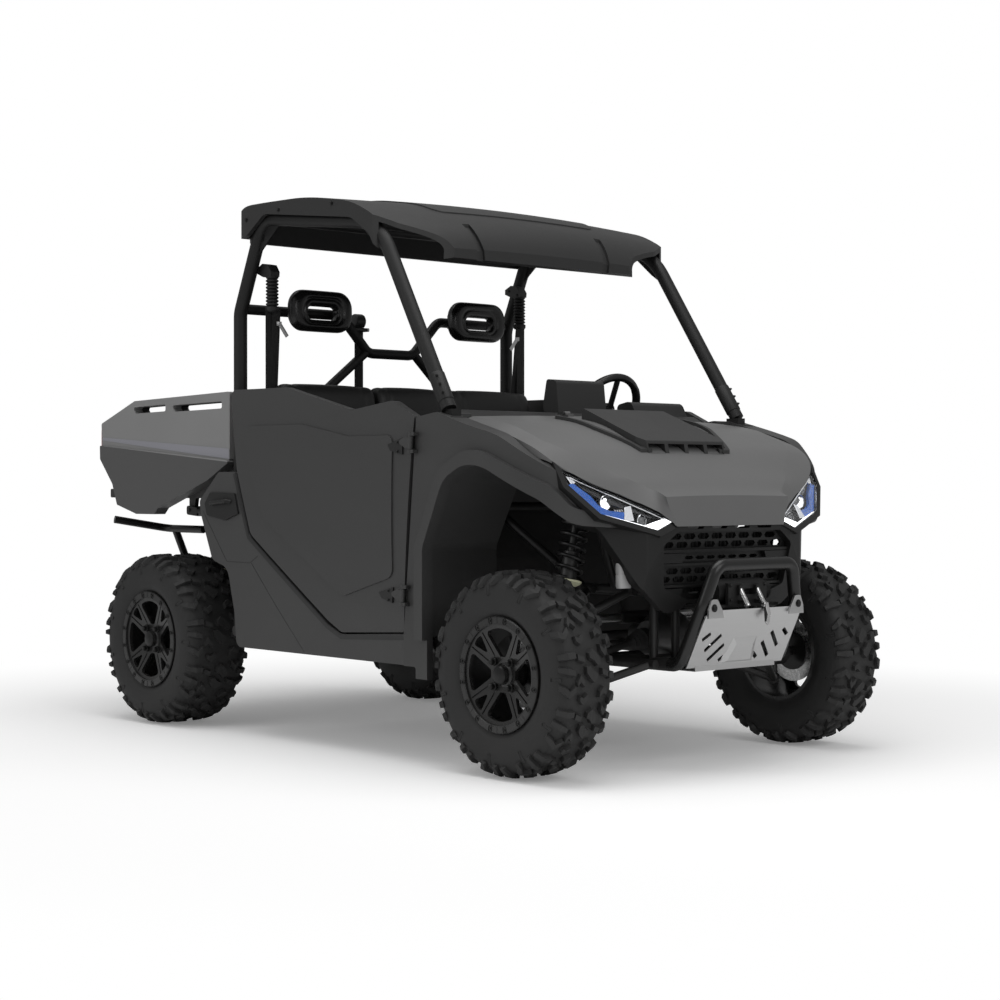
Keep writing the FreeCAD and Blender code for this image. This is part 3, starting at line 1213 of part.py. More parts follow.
def rim(x, y, width):
    """Wheel on the left side: barrel, outer ring, face with spokes in pairs, hub and brake disc."""
    half = width / 2
    face = half - 11
    seat = RIM_RADIUS - SEAT_CLEARANCE
    inner = BARREL_RADIUS
    barrel = lathe([(inner, -half + 22), (seat, -half + 22), (seat, face - 6), (RING_RADIUS, face - 6),
                    (RING_RADIUS, face + 4, 3), (inner, face + 4)], (x, y, AXLE_Z), (0, 1, 0))
    hub = lathe([(16.5, -10), (70, -10), (70, 4), (HUB_RADIUS, 10), (HUB_RADIUS, face - 24), (32, face - 20, 4),
                 (30, face - 2, 8), (0, face), (0, 61), (16.5, 61)], (x, y, AXLE_Z), (0, 1, 0))
    disc_face = lathe([(20, face - 40), (inner + 4, face - 16), (inner + 4, face - 2), (HUB_RADIUS, face - 22),
                       (20, face - 26)], (x, y, AXLE_Z), (0, 1, 0))
    wide = [(58, -13, 8), (58, 13, 8), (136, 67, 12), (158, 0, 120), (136, -67, 12)]
    narrow = [(92, 0, 5), (152, 24, 8), (158, 0, 50), (152, -24, 8)]
    groove = [(58, -2.5, 0), (158, -2.5, 0), (158, 2.5, 0), (58, 2.5, 0)]
    cuts = []
    for i in range(SPOKE_COUNT // 2):
        turn = 360.0 * i / (SPOKE_COUNT // 2)
        for outline, angle in ((wide, turn), (narrow, turn + 45)):
            window = wheel_window(x, outline)
            window.rotate(Vector(x, y, AXLE_Z), Vector(0, 1, 0), angle)
            cuts.append(window)
        for lean in (-SPOKE_SPREAD, SPOKE_SPREAD):
            line = wheel_window(x, groove).common(box(x, x + 200, y + face - 19, y + 300, AXLE_Z - 20, AXLE_Z + 20))
            line.rotate(Vector(x, y, AXLE_Z), Vector(0, 1, 0), turn + 45 + lean)
            cuts.append(line.cut(disc_slope(x, y, face)))
    disc_face = disc_face.cut(Part.makeCompound(cuts))
    disc = lathe([(50, -4), (DISC_RADIUS, -4), (DISC_RADIUS, -4 + DISC_THICKNESS), (50, -4 + DISC_THICKNESS)],
                 (x, y, AXLE_Z), (0, 1, 0))
    return fused([barrel, hub, disc_face, disc])


# Bed and rear end

def bed_tub():
    """Cargo bed: floor, front wall, side walls and hinge lugs."""
    front = aft(BED_FRONT)
    tail = aft(BED_TAIL)
    floor_bottom = BED_FLOOR_TOP - BED_FLOOR_THICKNESS
    inner = BED_INNER_HALF
    mid = inner + 34
    floor = box(tail + TAILGATE_THICKNESS + 2 * MOVING_CLEARANCE, front, -mid, mid, floor_bottom, BED_FLOOR_TOP)
    wall = side_prism([(front, floor_bottom), (front, 1318, 10), (aft(-249), 1300, 20), (tail + 6, 1214, 10),
                       (tail + 14, 1067), (aft(-406), 963), (aft(-390), floor_bottom)], inner, mid)
    slots = rail_slots(inner - 1, mid + 1)
    wall = wall.cut(slots)
    ear = side_prism([(tail - 8, floor_bottom, 8), (aft(-390), floor_bottom), (aft(-390), 975), (aft(-430), 975, 20),
                      (aft(-480), 942, 20), (tail - 8, 942, 8)], inner, inner + 24)
    lug = side_prism([(aft(BED_HINGE_X) - 18, BED_HINGE_Z - 18, 14), (aft(BED_HINGE_X) + 18, BED_HINGE_Z - 18, 14),
                      (aft(BED_HINGE_X) + 34, floor_bottom + 2), (aft(BED_HINGE_X) - 18, floor_bottom + 2)],
                     BED_RAIL_Y - 9, BED_RAIL_Y + 9)
    bore = rod((aft(BED_HINGE_X), 200, BED_HINGE_Z), (aft(BED_HINGE_X), 400, BED_HINGE_Z), PIN_RADIUS + PIN_CLEARANCE)
    lug = lug.cut(bore)
    rib_bottom = BED_RAIL_Z + BEAM_RADIUS + SEAT_CLEARANCE
    rib = box(aft(-300), front - 10, BED_RAIL_Y - 14, BED_RAIL_Y + 14, rib_bottom, floor_bottom + 2)
    header = box(front - 30, front, -inner - 5, inner + 5, floor_bottom, 1300)
    pieces = [floor, header]
    for piece in (wall, ear, lug, rib):
        pieces += [piece, mirrored(piece)]
    holes = tailgate_pins(PIN_CLEARANCE)
    return fused(pieces).cut(Part.makeCompound(holes))


def rail_slots(y0, y1):
    """Two long slots under the top rail."""
    slots = []
    for a, b in ((-264, -14), (30, 390)):
        slots.append(side_prism([(aft(a) + 24, 1252, 8), (aft(b), 1256, 8), (aft(b), 1284, 8), (aft(a), 1278, 8)], y0, y1))
    return Part.makeCompound(slots)


def bed_sides():
    """Outer bed panels with the proud lower flare over the wheel."""
    y0 = BED_INNER_HALF + 34 + SEAT_CLEARANCE
    panel = side_prism([(aft(BED_FRONT), 1060), (aft(BED_FRONT), 1320, 12), (aft(-249), 1304, 20),
                        (aft(BED_TAIL) + 4, 1216, 10), (aft(BED_TAIL) + 12, 1067, 6), (aft(-406), 963, 10),
                        (aft(-369), 876, 10), (aft(-218), 839, 20), (aft(-81), 839, 10), (aft(-51), 865, 10),
                        (aft(306), 976, 20)], y0, BED_OUTER_HALF)
    panel = panel.cut(rail_slots(y0 - 1, BED_OUTER_HALF + 1))
    flare = side_prism([(aft(BED_FRONT), 1042), (aft(BED_FRONT), 1053, 6), (aft(BED_TAIL) + 10, 1124, 6),
                        (aft(BED_TAIL) + 12, 1067, 6), (aft(-406), 963, 10), (aft(-369), 876, 10),
                        (aft(-218), 839, 20), (aft(-81), 839, 10), (aft(-51), 865, 10), (aft(306), 976, 20)],
                       y0, BED_OUTER_HALF + FLARE_PROUD)
    return both_sides(fused([panel, flare]))


def tailgate_axis():
    return (aft(BED_TAIL) + 2, BED_FLOOR_TOP - 10)


def tailgate_pins(clearance):
    """Stub pins at the lower corners of the tailgate, or the holes that take them."""
    x, z = tailgate_axis()
    reach = BED_INNER_HALF + 20 + clearance
    start = BED_INNER_HALF - MOVING_CLEARANCE - 4
    return [rod((x + 8, s * start, z + 8), (x + 8, s * reach, z + 8), 7 + clearance) for s in (1, -1)]


def tailgate():
    """Tailgate panel with ribs and its stub pins."""
    x, z = tailgate_axis()
    half = BED_INNER_HALF - MOVING_CLEARANCE
    panel = box(x, x + TAILGATE_THICKNESS, -half, half, z, TAILGATE_TOP)
    recess = []
    for y0, y1 in ((-half + 50, -30), (30, half - 50)):
        recess.append(box(x - 1, x + 8, y0, y1, z + 60, TAILGATE_TOP - 60))
    return fused([panel.cut(Part.makeCompound(recess))] + tailgate_pins(0))


def tail_lamps():
    """Lamp housings on the rear corners of the bed."""
    lamp = box(aft(BED_TAIL) - 6, aft(BED_TAIL) + 8, BED_INNER_HALF + 6, BED_OUTER_HALF - 6, 1090, 1190)
    panel = box(aft(BED_TAIL) - 10, aft(BED_TAIL) + 20, 600, 740, 1080, 1200)
    lamp = lamp.common(panel).cut(bed_sides()).cut(bed_tub())
    return both_sides(max(lamp.Solids, key=lambda solid: solid.Volume))


def rear_bumper():
    """Rear bumper tubes, brace plate and the hitch receiver."""
    tail = aft(-REAR_OVERHANG)
    return bent_tube([(aft(-216), 400, 770), (aft(-440), 430, 772), (tail + 16, 650, 812)], 16, 60)


def receiver():
    """Square receiver tube on a cross member, with its pin hole."""
    tail = aft(-REAR_OVERHANG)
    x0 = tail
    x1 = x0 + RECEIVER_LENGTH
    z = RAIL_Z
    o = RECEIVER_OUTER / 2
    i = RECEIVER_INNER / 2
    tube = box(x0, x1, -o, o, z - o, z + o).cut(box(x0 - 1, x1 + 1, -i, i, z - i, z + i))
    back = aft(RAIL_TAIL) - 24 - SEAT_CLEARANCE
    beam = rod((back, -RAIL_Y - 20, z), (back, RAIL_Y + 20, z), 24)
    beam = beam.cut(box(x0 - 1, x1 + 1, -o + 1, o - 1, z - o + 1, z + o - 1))
    pin = rod((x0 + 60, -60, z), (x0 + 60, 60, z), RECEIVER_PIN_RADIUS)
    posts = []
    for s in (1, -1):
        posts.append(rod((back, s * RAIL_Y, z), (back, s * 424, 771), 16))
    return [tube.cut(pin), beam] + posts


def main():
    save("frame", frame())
    save("floor_pan", floor_pan())
    save("roll_cage", roll_cage())
    save("roof", roof())
    save("headrests", both_sides(headrest()))
    save("seat_belts", both_sides(seat_belt()))
    save("seats", seats())
    save("seat_box", seat_box())
    save("dash", dash())
    save("steering_column", steering_column())
    save("steering_wheel", steering_wheel())
    lamp = headlight()
    bezel = lamp_block(BEZEL_WIDTH, BEZEL_PROUD)
    fender = front_fender().cut(bezel)
    for block in hood_way().Solids:
        fender = fender.cut(block)
    fender = max(fender.Solids, key=lambda solid: solid.Volume)
    save("front_fenders", both_sides(fender))
    save("side_panels", both_sides(side_panel()))
    save("door_left", door(1))
    save("door_right", door(-1))
    save("hood", hood())
    save("hood_scoop", hood_scoop())
    save("headlights", both_sides(lamp))
    fascia = fused([front_fascia(), bezel, mirrored(bezel)]).cut(hood_envelope(MOVING_CLEARANCE))
    for side in (fender, lamp_block(SEAT_CLEARANCE, SEAT_CLEARANCE), lamp_block(SEAT_CLEARANCE, 4 * BEZEL_PROUD)):
        fascia = fascia.cut(side).cut(mirrored(side))
    save("front_fascia", max(fascia.Solids, key=lambda solid: solid.Volume))
    save("bumper_loop", bumper_loop())
    save("skid_plate", skid_plate())
    save("winch", winch())
    save("engine", engine())
    save("gearboxes", gearboxes())
    save("muffler", muffler())
    save("suspension_arms", suspension_arms())
    save("shocks", shocks())
    knuckle = front_knuckle()
    save("knuckle_left", knuckle)
    save("knuckle_right", mirrored(knuckle))
    save("rear_knuckles", rear_knuckles())
    save("half_shafts", half_shafts())
    save("steering_rack", steering_rack())
    for name, x, y, width in (("front", fore(0), FRONT_TYRE_Y, FRONT_TYRE_WIDTH),
                              ("rear", aft(0), REAR_TYRE_Y, REAR_TYRE_WIDTH)):
        rubber = tyre(x, y, width)
        wheel = rim(x, y, width)
        save("tyre_" + name + "_left", rubber)
        save("tyre_" + name + "_right", mirrored(rubber))
        save("rim_" + name + "_left", wheel)
        save("rim_" + name + "_right", mirrored(wheel))
    save("bed_tub", bed_tub())
    save("bed_sides", bed_sides())
    save("tailgate", tailgate())
    save("tail_lamps", tail_lamps())
    tube = rear_bumper()
    save("rear_bumper", fused([tube, mirrored(tube)] + receiver()))


main()
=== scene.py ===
from math import atan2, copysign, cos, dist, exp, pi, radians, sin, sqrt

import bmesh
import bpy
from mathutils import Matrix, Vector


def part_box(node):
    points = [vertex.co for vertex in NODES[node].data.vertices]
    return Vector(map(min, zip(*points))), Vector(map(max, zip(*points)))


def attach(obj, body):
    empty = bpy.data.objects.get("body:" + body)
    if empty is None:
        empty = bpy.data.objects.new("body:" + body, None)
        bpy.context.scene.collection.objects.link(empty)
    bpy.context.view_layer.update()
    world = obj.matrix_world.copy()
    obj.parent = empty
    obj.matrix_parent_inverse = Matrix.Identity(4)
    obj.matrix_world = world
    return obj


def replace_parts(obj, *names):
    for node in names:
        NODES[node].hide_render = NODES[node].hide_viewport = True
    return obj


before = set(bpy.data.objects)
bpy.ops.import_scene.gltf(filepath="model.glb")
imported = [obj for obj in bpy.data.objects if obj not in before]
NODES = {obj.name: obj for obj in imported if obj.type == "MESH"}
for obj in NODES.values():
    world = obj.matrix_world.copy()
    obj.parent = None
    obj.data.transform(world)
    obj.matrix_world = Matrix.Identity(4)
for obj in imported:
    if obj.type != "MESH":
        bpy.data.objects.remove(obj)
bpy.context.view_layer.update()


def middle_of(node):
    low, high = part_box(node)
    return (low + high) / 2


FRONT_AXLE = middle_of("tyre_front_left")
REAR_AXLE = middle_of("tyre_rear_left")
ROOF_EDGE = 0.738
GROUND_HALF = 14.0
# Distances from the middle at which the floor starts to pale and is white
WHITE_FROM = 1.596
WHITE_AT = 3.8
FLOOR_TONE = (0.93, 0.93, 0.93, 1)
FLOOR_TONE_SEEN = (1.24, 1.24, 1.24, 1)
WHITE = (1, 1, 1, 1)
SOFT_LIGHT = 0.33

FORWARD, LEFT, UP = (1, 0, 0), (0, 1, 0), (0, 0, 1)

CAMERA_PLACE = Vector((5.971, -5.1363, 0.9557))
CAMERA_AZIMUTH = radians(48.2293)
CAMERA_ELEVATION = radians(0.411)
CAMERA_LENS = 72.61


def fore(x):
    """A place in metres given from the front axle in millimetres."""
    return FRONT_AXLE.x + x / 1000


def aft(x):
    """A place in metres given from the rear axle in millimetres."""
    return REAR_AXLE.x + x / 1000


def from_front(x, y, z):
    """A place from millimetres, with x counted from the front axle."""
    return Vector((fore(x), y / 1000, z / 1000))


def from_rear(x, y, z):
    """A place from millimetres, with x counted from the rear axle."""
    return Vector((aft(x), y / 1000, z / 1000))


# Shared shader groups

def new_group(name, inputs, outputs):
    """A node group with named float inputs and named outputs of a given kind, and the sockets inside it."""
    group = bpy.data.node_groups.new(name, "ShaderNodeTree")
    for label, value in inputs:
        socket = group.interface.new_socket(label, in_out="INPUT", socket_type="NodeSocketFloat")
        socket.default_value = value
    for label, kind in outputs:
        group.interface.new_socket(label, in_out="OUTPUT", socket_type=kind)
    return group, group.nodes.new("NodeGroupInput").outputs, group.nodes.new("NodeGroupOutput").inputs


def add_node(tree, kind, **values):
    """A shader node with some of its sockets set or linked."""
    node = tree.nodes.new("ShaderNode" + kind)
    for label, value in values.items():
        feed(tree, value, node.inputs[label.replace("_", " ")])
    return node


def feed(tree, value, socket):
    """Links an output to a socket, or sets the socket to a plain value."""
    if isinstance(value, bpy.types.NodeSocket):
        tree.links.new(value, socket)
    else:
        socket.default_value = value


def math_node(tree, operation, *values):
    node = add_node(tree, "Math")
    node.operation = operation
    for value, socket in zip(values, node.inputs):
        feed(tree, value, socket)
    return node.outputs[0]


def clamped(tree, value):
    return math_node(tree, "MINIMUM", math_node(tree, "MAXIMUM", value, 0.0), 1.0)


def noise_node(tree, vector, scale, detail=3.0, rough=0.5):
    return add_node(tree, "TexNoise", Vector=vector, Scale=scale, Detail=detail, Roughness=rough).outputs["Fac"]


def axes(tree):
    """Separate coordinates in the part's own frame."""
    return add_node(tree, "SeparateXYZ", Vector=object_place(tree)).outputs


def object_place(tree):
    return tree.nodes.new("ShaderNodeTexCoord").outputs["Object"]


def moulded_grain_group():
    """Pebbled grain of moulded plastic: cell height and a slow cloudy mask."""
    group, entry, leave = new_group("moulded_grain", [("Scale", 900.0), ("Cloud scale", 3.0)],
                                    [("Height", "NodeSocketFloat"), ("Cloud", "NodeSocketFloat")])
    place = object_place(group)
    cells = add_node(group, "TexVoronoi", Vector=place, Scale=entry["Scale"])
    cells.feature = "SMOOTH_F1"
    fine = noise_node(group, place, entry["Scale"])
    feed(group, math_node(group, "ADD", cells.outputs["Distance"], fine), leave["Height"])
    feed(group, noise_node(group, place, entry["Cloud scale"], 4.0, 0.6), leave["Cloud"])
    return group


def road_dust_group():
    """Mask of dry dust that thins out with height above the ground."""
    group, entry, leave = new_group("road_dust", [("Reach", 0.6), ("Amount", 0.5)], [("Mask", "NodeSocketFloat")])
    share = math_node(group, "DIVIDE", axes(group)["Z"], entry["Reach"])
    low = math_node(group, "MAXIMUM", math_node(group, "SUBTRACT", 1.0, share), 0.0)
    mask = math_node(group, "MULTIPLY", low, noise_node(group, object_place(group), 7.0, 6.0, 0.65))
    feed(group, math_node(group, "MULTIPLY", mask, entry["Amount"]), leave["Mask"])
    return group


def worn_and_highlit_edge_group():
    """Mask of convex corners, lightened both as edge wear and as a painted edge highlight."""
    group, entry, leave = new_group("worn_and_highlit_edge", [("Contrast", 8.0)], [("Mask", "NodeSocketFloat")])
    sharp = add_node(group, "NewGeometry").outputs["Pointiness"]
    lifted = math_node(group, "MULTIPLY", math_node(group, "SUBTRACT", sharp, 0.53), entry["Contrast"])
    feed(group, clamped(group, lifted), leave["Mask"])
    return group


def brushed_group():
    """Long fine streaks of brushed metal."""
    group, entry, leave = new_group("brushed_streaks", [("Scale", 60.0), ("Stretch", 30.0)],
                                    [("Height", "NodeSocketFloat"), ("Streak", "NodeSocketFloat")])
    place = axes(group)
    across = math_node(group, "DIVIDE", place["Y"], entry["Stretch"])
    drawn = add_node(group, "CombineXYZ", X=place["X"], Y=across, Z=place["Z"])
    streak = noise_node(group, drawn.outputs[0], entry["Scale"], 5.0, 0.7)
    feed(group, streak, leave["Height"])
    feed(group, streak, leave["Streak"])
    return group


def webbing_group():
    """Woven webbing: crossed fine waves."""
    group, entry, leave = new_group("webbing_weave", [("Scale", 700.0)], [("Height", "NodeSocketFloat")])
    place = object_place(group)
    waves = []
    for direction in ("X", "Z"):
        wave = add_node(group, "TexWave", Vector=place, Scale=entry["Scale"])
        wave.bands_direction = direction
        waves.append(wave.outputs["Fac"])
    feed(group, math_node(group, "MULTIPLY", *waves), leave["Height"])
    return group


def panel_line_group():
    """Mask of what lies below a sloping line along the vehicle's side."""
    group, entry, leave = new_group("panel_line", [("Height", 1.0), ("Slope", 0.0)], [("Mask", "NodeSocketFloat")])
    place = axes(group)
    rise = math_node(group, "MULTIPLY", place["X"], entry["Slope"])
    line = math_node(group, "ADD", entry["Height"], rise)
    below = math_node(group, "MULTIPLY", math_node(group, "SUBTRACT", line, place["Z"]), 2000.0)
    feed(group, clamped(group, below), leave["Mask"])
    return group


MOULDED_GRAIN = moulded_grain_group()
ROAD_DUST = road_dust_group()
WORN_AND_HIGHLIT_EDGE = worn_and_highlit_edge_group()
BRUSHED = brushed_group()
WEBBING = webbing_group()
PANEL_LINE = panel_line_group()


# Materials

def place_group(tree, group, **values):
    """Outputs of a shared group with its inputs set."""
    node = tree.nodes.new("ShaderNodeGroup")
    node.node_tree = group
    for label, value in values.items():
        node.inputs[label.replace("_", " ")].default_value = value
    return node.outputs


def principled(name, roughness, metallic=0.0, **sockets):
    material = bpy.data.materials.new(name)
    material.use_nodes = True
    shader = material.node_tree.nodes["Principled BSDF"]
    for label, value in {"Roughness": roughness, "Metallic": metallic, **sockets}.items():
        shader.inputs[label.replace("_", " ")].default_value = value
    return material, material.node_tree, shader


def grey(value):
    return value, value, value, 1.0


def shade(colour, factor, lift=0.0):
    """A darker or lighter colour."""
    return tuple(min(1.0, c * factor + lift) for c in colour[:3]) + (1.0,)


def mix_colour(tree, factor, first, second):
    node = add_node(tree, "Mix")
    node.data_type = "RGBA"
    for value, socket in ((factor, node.inputs["Factor"]), (first, node.inputs[6]), (second, node.inputs[7])):
        feed(tree, value, socket)
    return node.outputs[2]


def scaled(tree, value, low, high):
    """The middle of a noise's values spread between two limits."""
    return add_node(tree, "MapRange", Value=value, From_Min=0.3, From_Max=0.7, To_Min=low, To_Max=high).outputs[0]


def finish_surface(tree, shader, colour, height, depth):
    """Links the base colour and the bump of a finish."""
    feed(tree, colour, shader.inputs["Base Color"])
    bump = add_node(tree, "Bump", Strength=1.0, Distance=depth, Height=height)
    feed(tree, bump.outputs[0], shader.inputs["Normal"])


def moulded(name, tone, roughness, grain, depth, dust, edge, metallic=0.0, dust_reach=0.9, **sockets):
    """Moulded or painted surface: cloudy tone, fine grain, dust low down and lighter corners that are partly wear and
    partly a painted highlight.
    """
    material, tree, shader = principled(name, roughness, metallic, **sockets)
    colour = tone if isinstance(tone, tuple) else grey(tone)
    grained = place_group(tree, MOULDED_GRAIN, Scale=grain, Cloud_scale=3.0)
    dusty = place_group(tree, ROAD_DUST, Reach=dust_reach, Amount=dust)
    edge_wear_and_highlight = place_group(tree, WORN_AND_HIGHLIT_EDGE, Contrast=6.0)
    base = mix_colour(tree, grained["Cloud"], shade(colour, 0.93), shade(colour, 1.07))
    # The edge column sets how much convex corners are lightened: partly wear, partly a painted highlight on the
    # edges.
    wear_and_highlight_colour = mix_colour(tree, math_node(tree, "MULTIPLY", edge_wear_and_highlight["Mask"], edge), base, shade(colour, 1.5, 0.01))
    powder = mix_colour(tree, dusty["Mask"], wear_and_highlight_colour, (0.11, 0.105, 0.1, 1.0))
    feed(tree, scaled(tree, grained["Cloud"], roughness - 0.05, min(1.0, roughness + 0.06)),
         shader.inputs["Roughness"])
    finish_surface(tree, shader, powder, grained["Height"], depth * 1e-6)
    return material


def darker_below(material, colour, height, slope):
    """Gives a moulded finish a second colour under a line along the side."""
    tree = material.node_tree
    shader = tree.nodes["Principled BSDF"]
    line = place_group(tree, PANEL_LINE, Height=height, Slope=slope)
    above = shader.inputs["Base Color"].links[0].from_socket
    feed(tree, mix_colour(tree, line["Mask"], above, colour), shader.inputs["Base Color"])


def brushed_metal(name, tone, roughness, scale):
    material, tree, shader = principled(name, roughness, 1.0)
    streaks = place_group(tree, BRUSHED, Scale=scale, Stretch=30.0)
    feed(tree, scaled(tree, streaks["Streak"], roughness - 0.06, roughness + 0.08), shader.inputs["Roughness"])
    streaked = mix_colour(tree, streaks["Streak"], shade(grey(tone), 0.86), grey(tone))
    finish_surface(tree, shader, streaked, streaks["Height"], 0.00003)
    return material


def webbing(name, colour):
    material, tree, shader = principled(name, 0.75)
    weave = place_group(tree, WEBBING, Scale=700.0)["Height"]
    finish_surface(tree, shader, mix_colour(tree, weave, shade(colour, 0.5), colour), weave, 0.0004)
    return material


def glowing(name, colour, strength):
    """Lit lamp part behind the lens, with a soft fall-off in its tone."""
    material, tree, shader = principled(name, 0.4, Base_Color=colour, Emission_Strength=strength)
    cloud = noise_node(tree, object_place(tree), 30.0)
    feed(tree, mix_colour(tree, cloud, shade(colour, 0.9), colour), shader.inputs["Emission Color"])
    return material


def clear_lens(name, tint, roughness):
    material, tree, shader = principled(name, roughness, Transmission_Weight=1.0, IOR=1.2)
    streaks = noise_node(tree, object_place(tree), 90.0, 2.0)
    feed(tree, scaled(tree, streaks, roughness, roughness + 0.03), shader.inputs["Roughness"])
    finish_surface(tree, shader, tint, streaks, 0.00002)
    return material


# Finish: tone or colour, roughness, grain, grain depth in micrometres, dust, edge wear with painted edge highlight,
# other sockets
LESS_SHINE = {"Specular_IOR_Level": 0.35}
MOULDED_FINISHES = {
    "frame_paint": (0.012, 0.42, 500, 30, 0.25, 0.5),
    "cage_paint": (0.010, 0.5, 600, 40, 0, 0.3, LESS_SHINE),
    "floor_plastic": (0.014, 0.65, 300, 150, 0.4, 0.2),
    "roof_plastic": (0.026, 0.5, 800, 50, 0, 0.2, LESS_SHINE),
    "soft_black": (0.010, 0.34, 700, 50, 0, 0.2),
    "dash_plastic": (0.018, 0.5, 500, 90, 0, 0.3),
    "panel_plastic": (0.044, 0.46, 700, 40, 0.08, 0.15),
    "scoop_plastic": (0.030, 0.5, 800, 40, 0, 0.2, {"Specular_IOR_Level": 0.4}),
    "hood_paint": (0.138, 0.40, 900, 30, 0, 0.1),
    "bed_paint": (0.245, 0.42, 900, 30, 0, 0.1),
    "bed_liner": (0.03, 0.55, 400, 100, 0, 0.3),
    "trim_black": (0.011, 0.45, 700, 40, 0.05, 0.3, LESS_SHINE),
    "bar_black": (0.008, 0.3, 500, 30, 0.1, 0.3),
    "cast_dark": (0.05, 0.55, 250, 200, 0.4, 0.5, {"metallic": 0.6}),
    "engine_cast": (0.16, 0.5, 200, 200, 0.4, 0.5, {"metallic": 0.8}),
    "boot_rubber": (0.012, 0.6, 500, 80, 0.3, 0.2),
    "tyre_rubber": (0.018, 0.66, 420, 120, 0.12, 0.3, {"dust_reach": 0.5}),
    "rim_black": (0.011, 0.28, 900, 30, 0.15, 0.6),
    "seat_vinyl": (0.012, 0.5, 350, 150, 0, 0.2),
    "headrest_skin": (0.008, 0.26, 600, 40, 0, 0.2),
    "damper_black": (0.02, 0.35, 500, 40, 0.3, 0.4),
    "spring_black": (0.012, 0.3, 500, 30, 0.2, 0.3),
    "collar_cream": ((0.70, 0.70, 0.48, 1.0), 0.45, 500, 50, 0.3, 0.1),
    "bolt_black": (0.02, 0.32, 900, 20, 0.1, 0.8, {"metallic": 0.7}),
    "bottle_grey": (0.42, 0.4, 300, 50, 0.2, 0.1),
    "stripe_film": ((0.27, 0.27, 0.30, 1.0), 0.4, 900, 10, 0, 0.1),
    "screen_glass": (0.006, 0.08, 40, 10, 0, 0),
    "lamp_bowl": (0.02, 0.22, 300, 30, 0, 0.6),
    "lamp_glass": (0.10, 0.05, 60, 10, 0, 0),
    "lamp_blue": ((0.012, 0.09, 0.38, 1.0), 0.15, 90, 20, 0, 1.2),
    "lamp_red": ((0.32, 0.008, 0.006, 1.0), 0.2, 150, 100, 0, 0)}
# Metal: tone, roughness, streak scale
BRUSHED_METALS = {
    "skid_bright": (0.60, 0.34, 60), "bright_steel": (0.55, 0.3, 60), "lamp_chrome": (0.72, 0.14, 30),
    "disc_steel": (0.66, 0.28, 90), "roller_steel": (0.72, 0.22, 80)}
BED_LOWER_TONE = 0.082


def build_finishes():
    """All materials of the vehicle by name."""
    made = {name: moulded(name, *row[:6], **(row[6] if len(row) > 6 else {}))
            for name, row in MOULDED_FINISHES.items()}
    made.update((name, brushed_metal(name, *row)) for name, row in BRUSHED_METALS.items())
    made["belt_webbing"] = webbing("belt_webbing", grey(0.02))
    made["lamp_white"] = glowing("lamp_white", WHITE, 1.6)
    made["lens_clear"] = clear_lens("lens_clear", (0.97, 0.98, 1.0, 1.0), 0.02)
    darker_below(made["bed_paint"], grey(BED_LOWER_TONE), 1.0032, -0.0805)
    return made


FINISHES = build_finishes()

NODES_BY_FINISH = {
    "frame_paint": "frame suspension_arms shocks",
    "floor_plastic": "floor_pan seat_box",
    "cage_paint": "roll_cage",
    "roof_plastic": "roof",
    "soft_black": "headrests steering_wheel",
    "boot_rubber": "seat_belts half_shafts",
    "seat_vinyl": "seats",
    "dash_plastic": "dash steering_column",
    "panel_plastic": "front_fenders side_panels door_left door_right",
    "trim_black": "headlights front_fascia winch",
    "bar_black": "bumper_loop rear_bumper",
    "skid_bright": "skid_plate",
    "engine_cast": "engine gearboxes",
    "bright_steel": "muffler steering_rack",
    "cast_dark": "rear_knuckles knuckle_left knuckle_right",
    "hood_paint": "hood",
    "scoop_plastic": "hood_scoop",
    "bed_liner": "bed_tub",
    "bed_paint": "bed_sides tailgate",
    "lamp_red": "tail_lamps",
    "tyre_rubber": "tyre_front_left tyre_front_right tyre_rear_left tyre_rear_right",
    "rim_black": "rim_front_left rim_front_right rim_rear_left rim_rear_right"}


def finish_nodes():
    """Gives every carried-over part its finish."""
    for finish, nodes in NODES_BY_FINISH.items():
        for name in nodes.split():
            if not NODES[name].material_slots:
                NODES[name].data.materials.append(FINISHES[finish])
            for place in NODES[name].material_slots:
                place.material = FINISHES[finish]


# Mesh helpers

def add_object(name, data):
    """A new object in the scene."""
    thing = bpy.data.objects.new(name, data)
    bpy.context.scene.collection.objects.link(thing)
    return thing


def new_piece(name, mesh, finish, body):
    """A new object that rides on a body."""
    piece = add_object(name, mesh)
    mesh.materials.append(FINISHES[finish])
    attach(piece, body)
    return piece


def mesh_of(name, verts, faces):
    mesh = bpy.data.meshes.new(name)
    mesh.from_pydata(verts, [], faces)
    mesh.update()
    return mesh


# Tyres

CARCASS_STEPS = 96
TREAD_PITCHES = 11
TREAD_RADIUS = 0.33
LUG_DEPTH = 0.0155
# Half width of the tyre that the lug rows are drawn for
DRAWN_HALF = 0.1145


def tyre_profile(half, crown):
    """Half section of the carcass from the bead to the middle of the tread, as (across, radius)."""
    return [(half - 0.022, 0.178), (half - 0.0185, 0.193), (half - 0.007, 0.206), (half - 0.002, 0.226),
            (half, 0.250), (half - 0.001, 0.272), (half - 0.006, 0.292), (half - 0.015, 0.308),
            (half - 0.030, crown - 0.0075), (half - 0.055, crown - 0.0028), (half - 0.085, crown - 0.0008),
            (0.0, crown)]


def carcass_point(profile, across):
    """Radius and outward slope of the carcass where the section is a distance from its middle plane."""
    side = abs(across)
    outline = profile[4:]
    for (a0, r0), (a1, r1) in zip(outline, outline[1:]):
        if a1 <= side <= a0:
            share = (a0 - side) / (a0 - a1)
            return r0 + (r1 - r0) * share, atan2(r1 - r0, a0 - a1)
    return outline[0][1], pi / 2


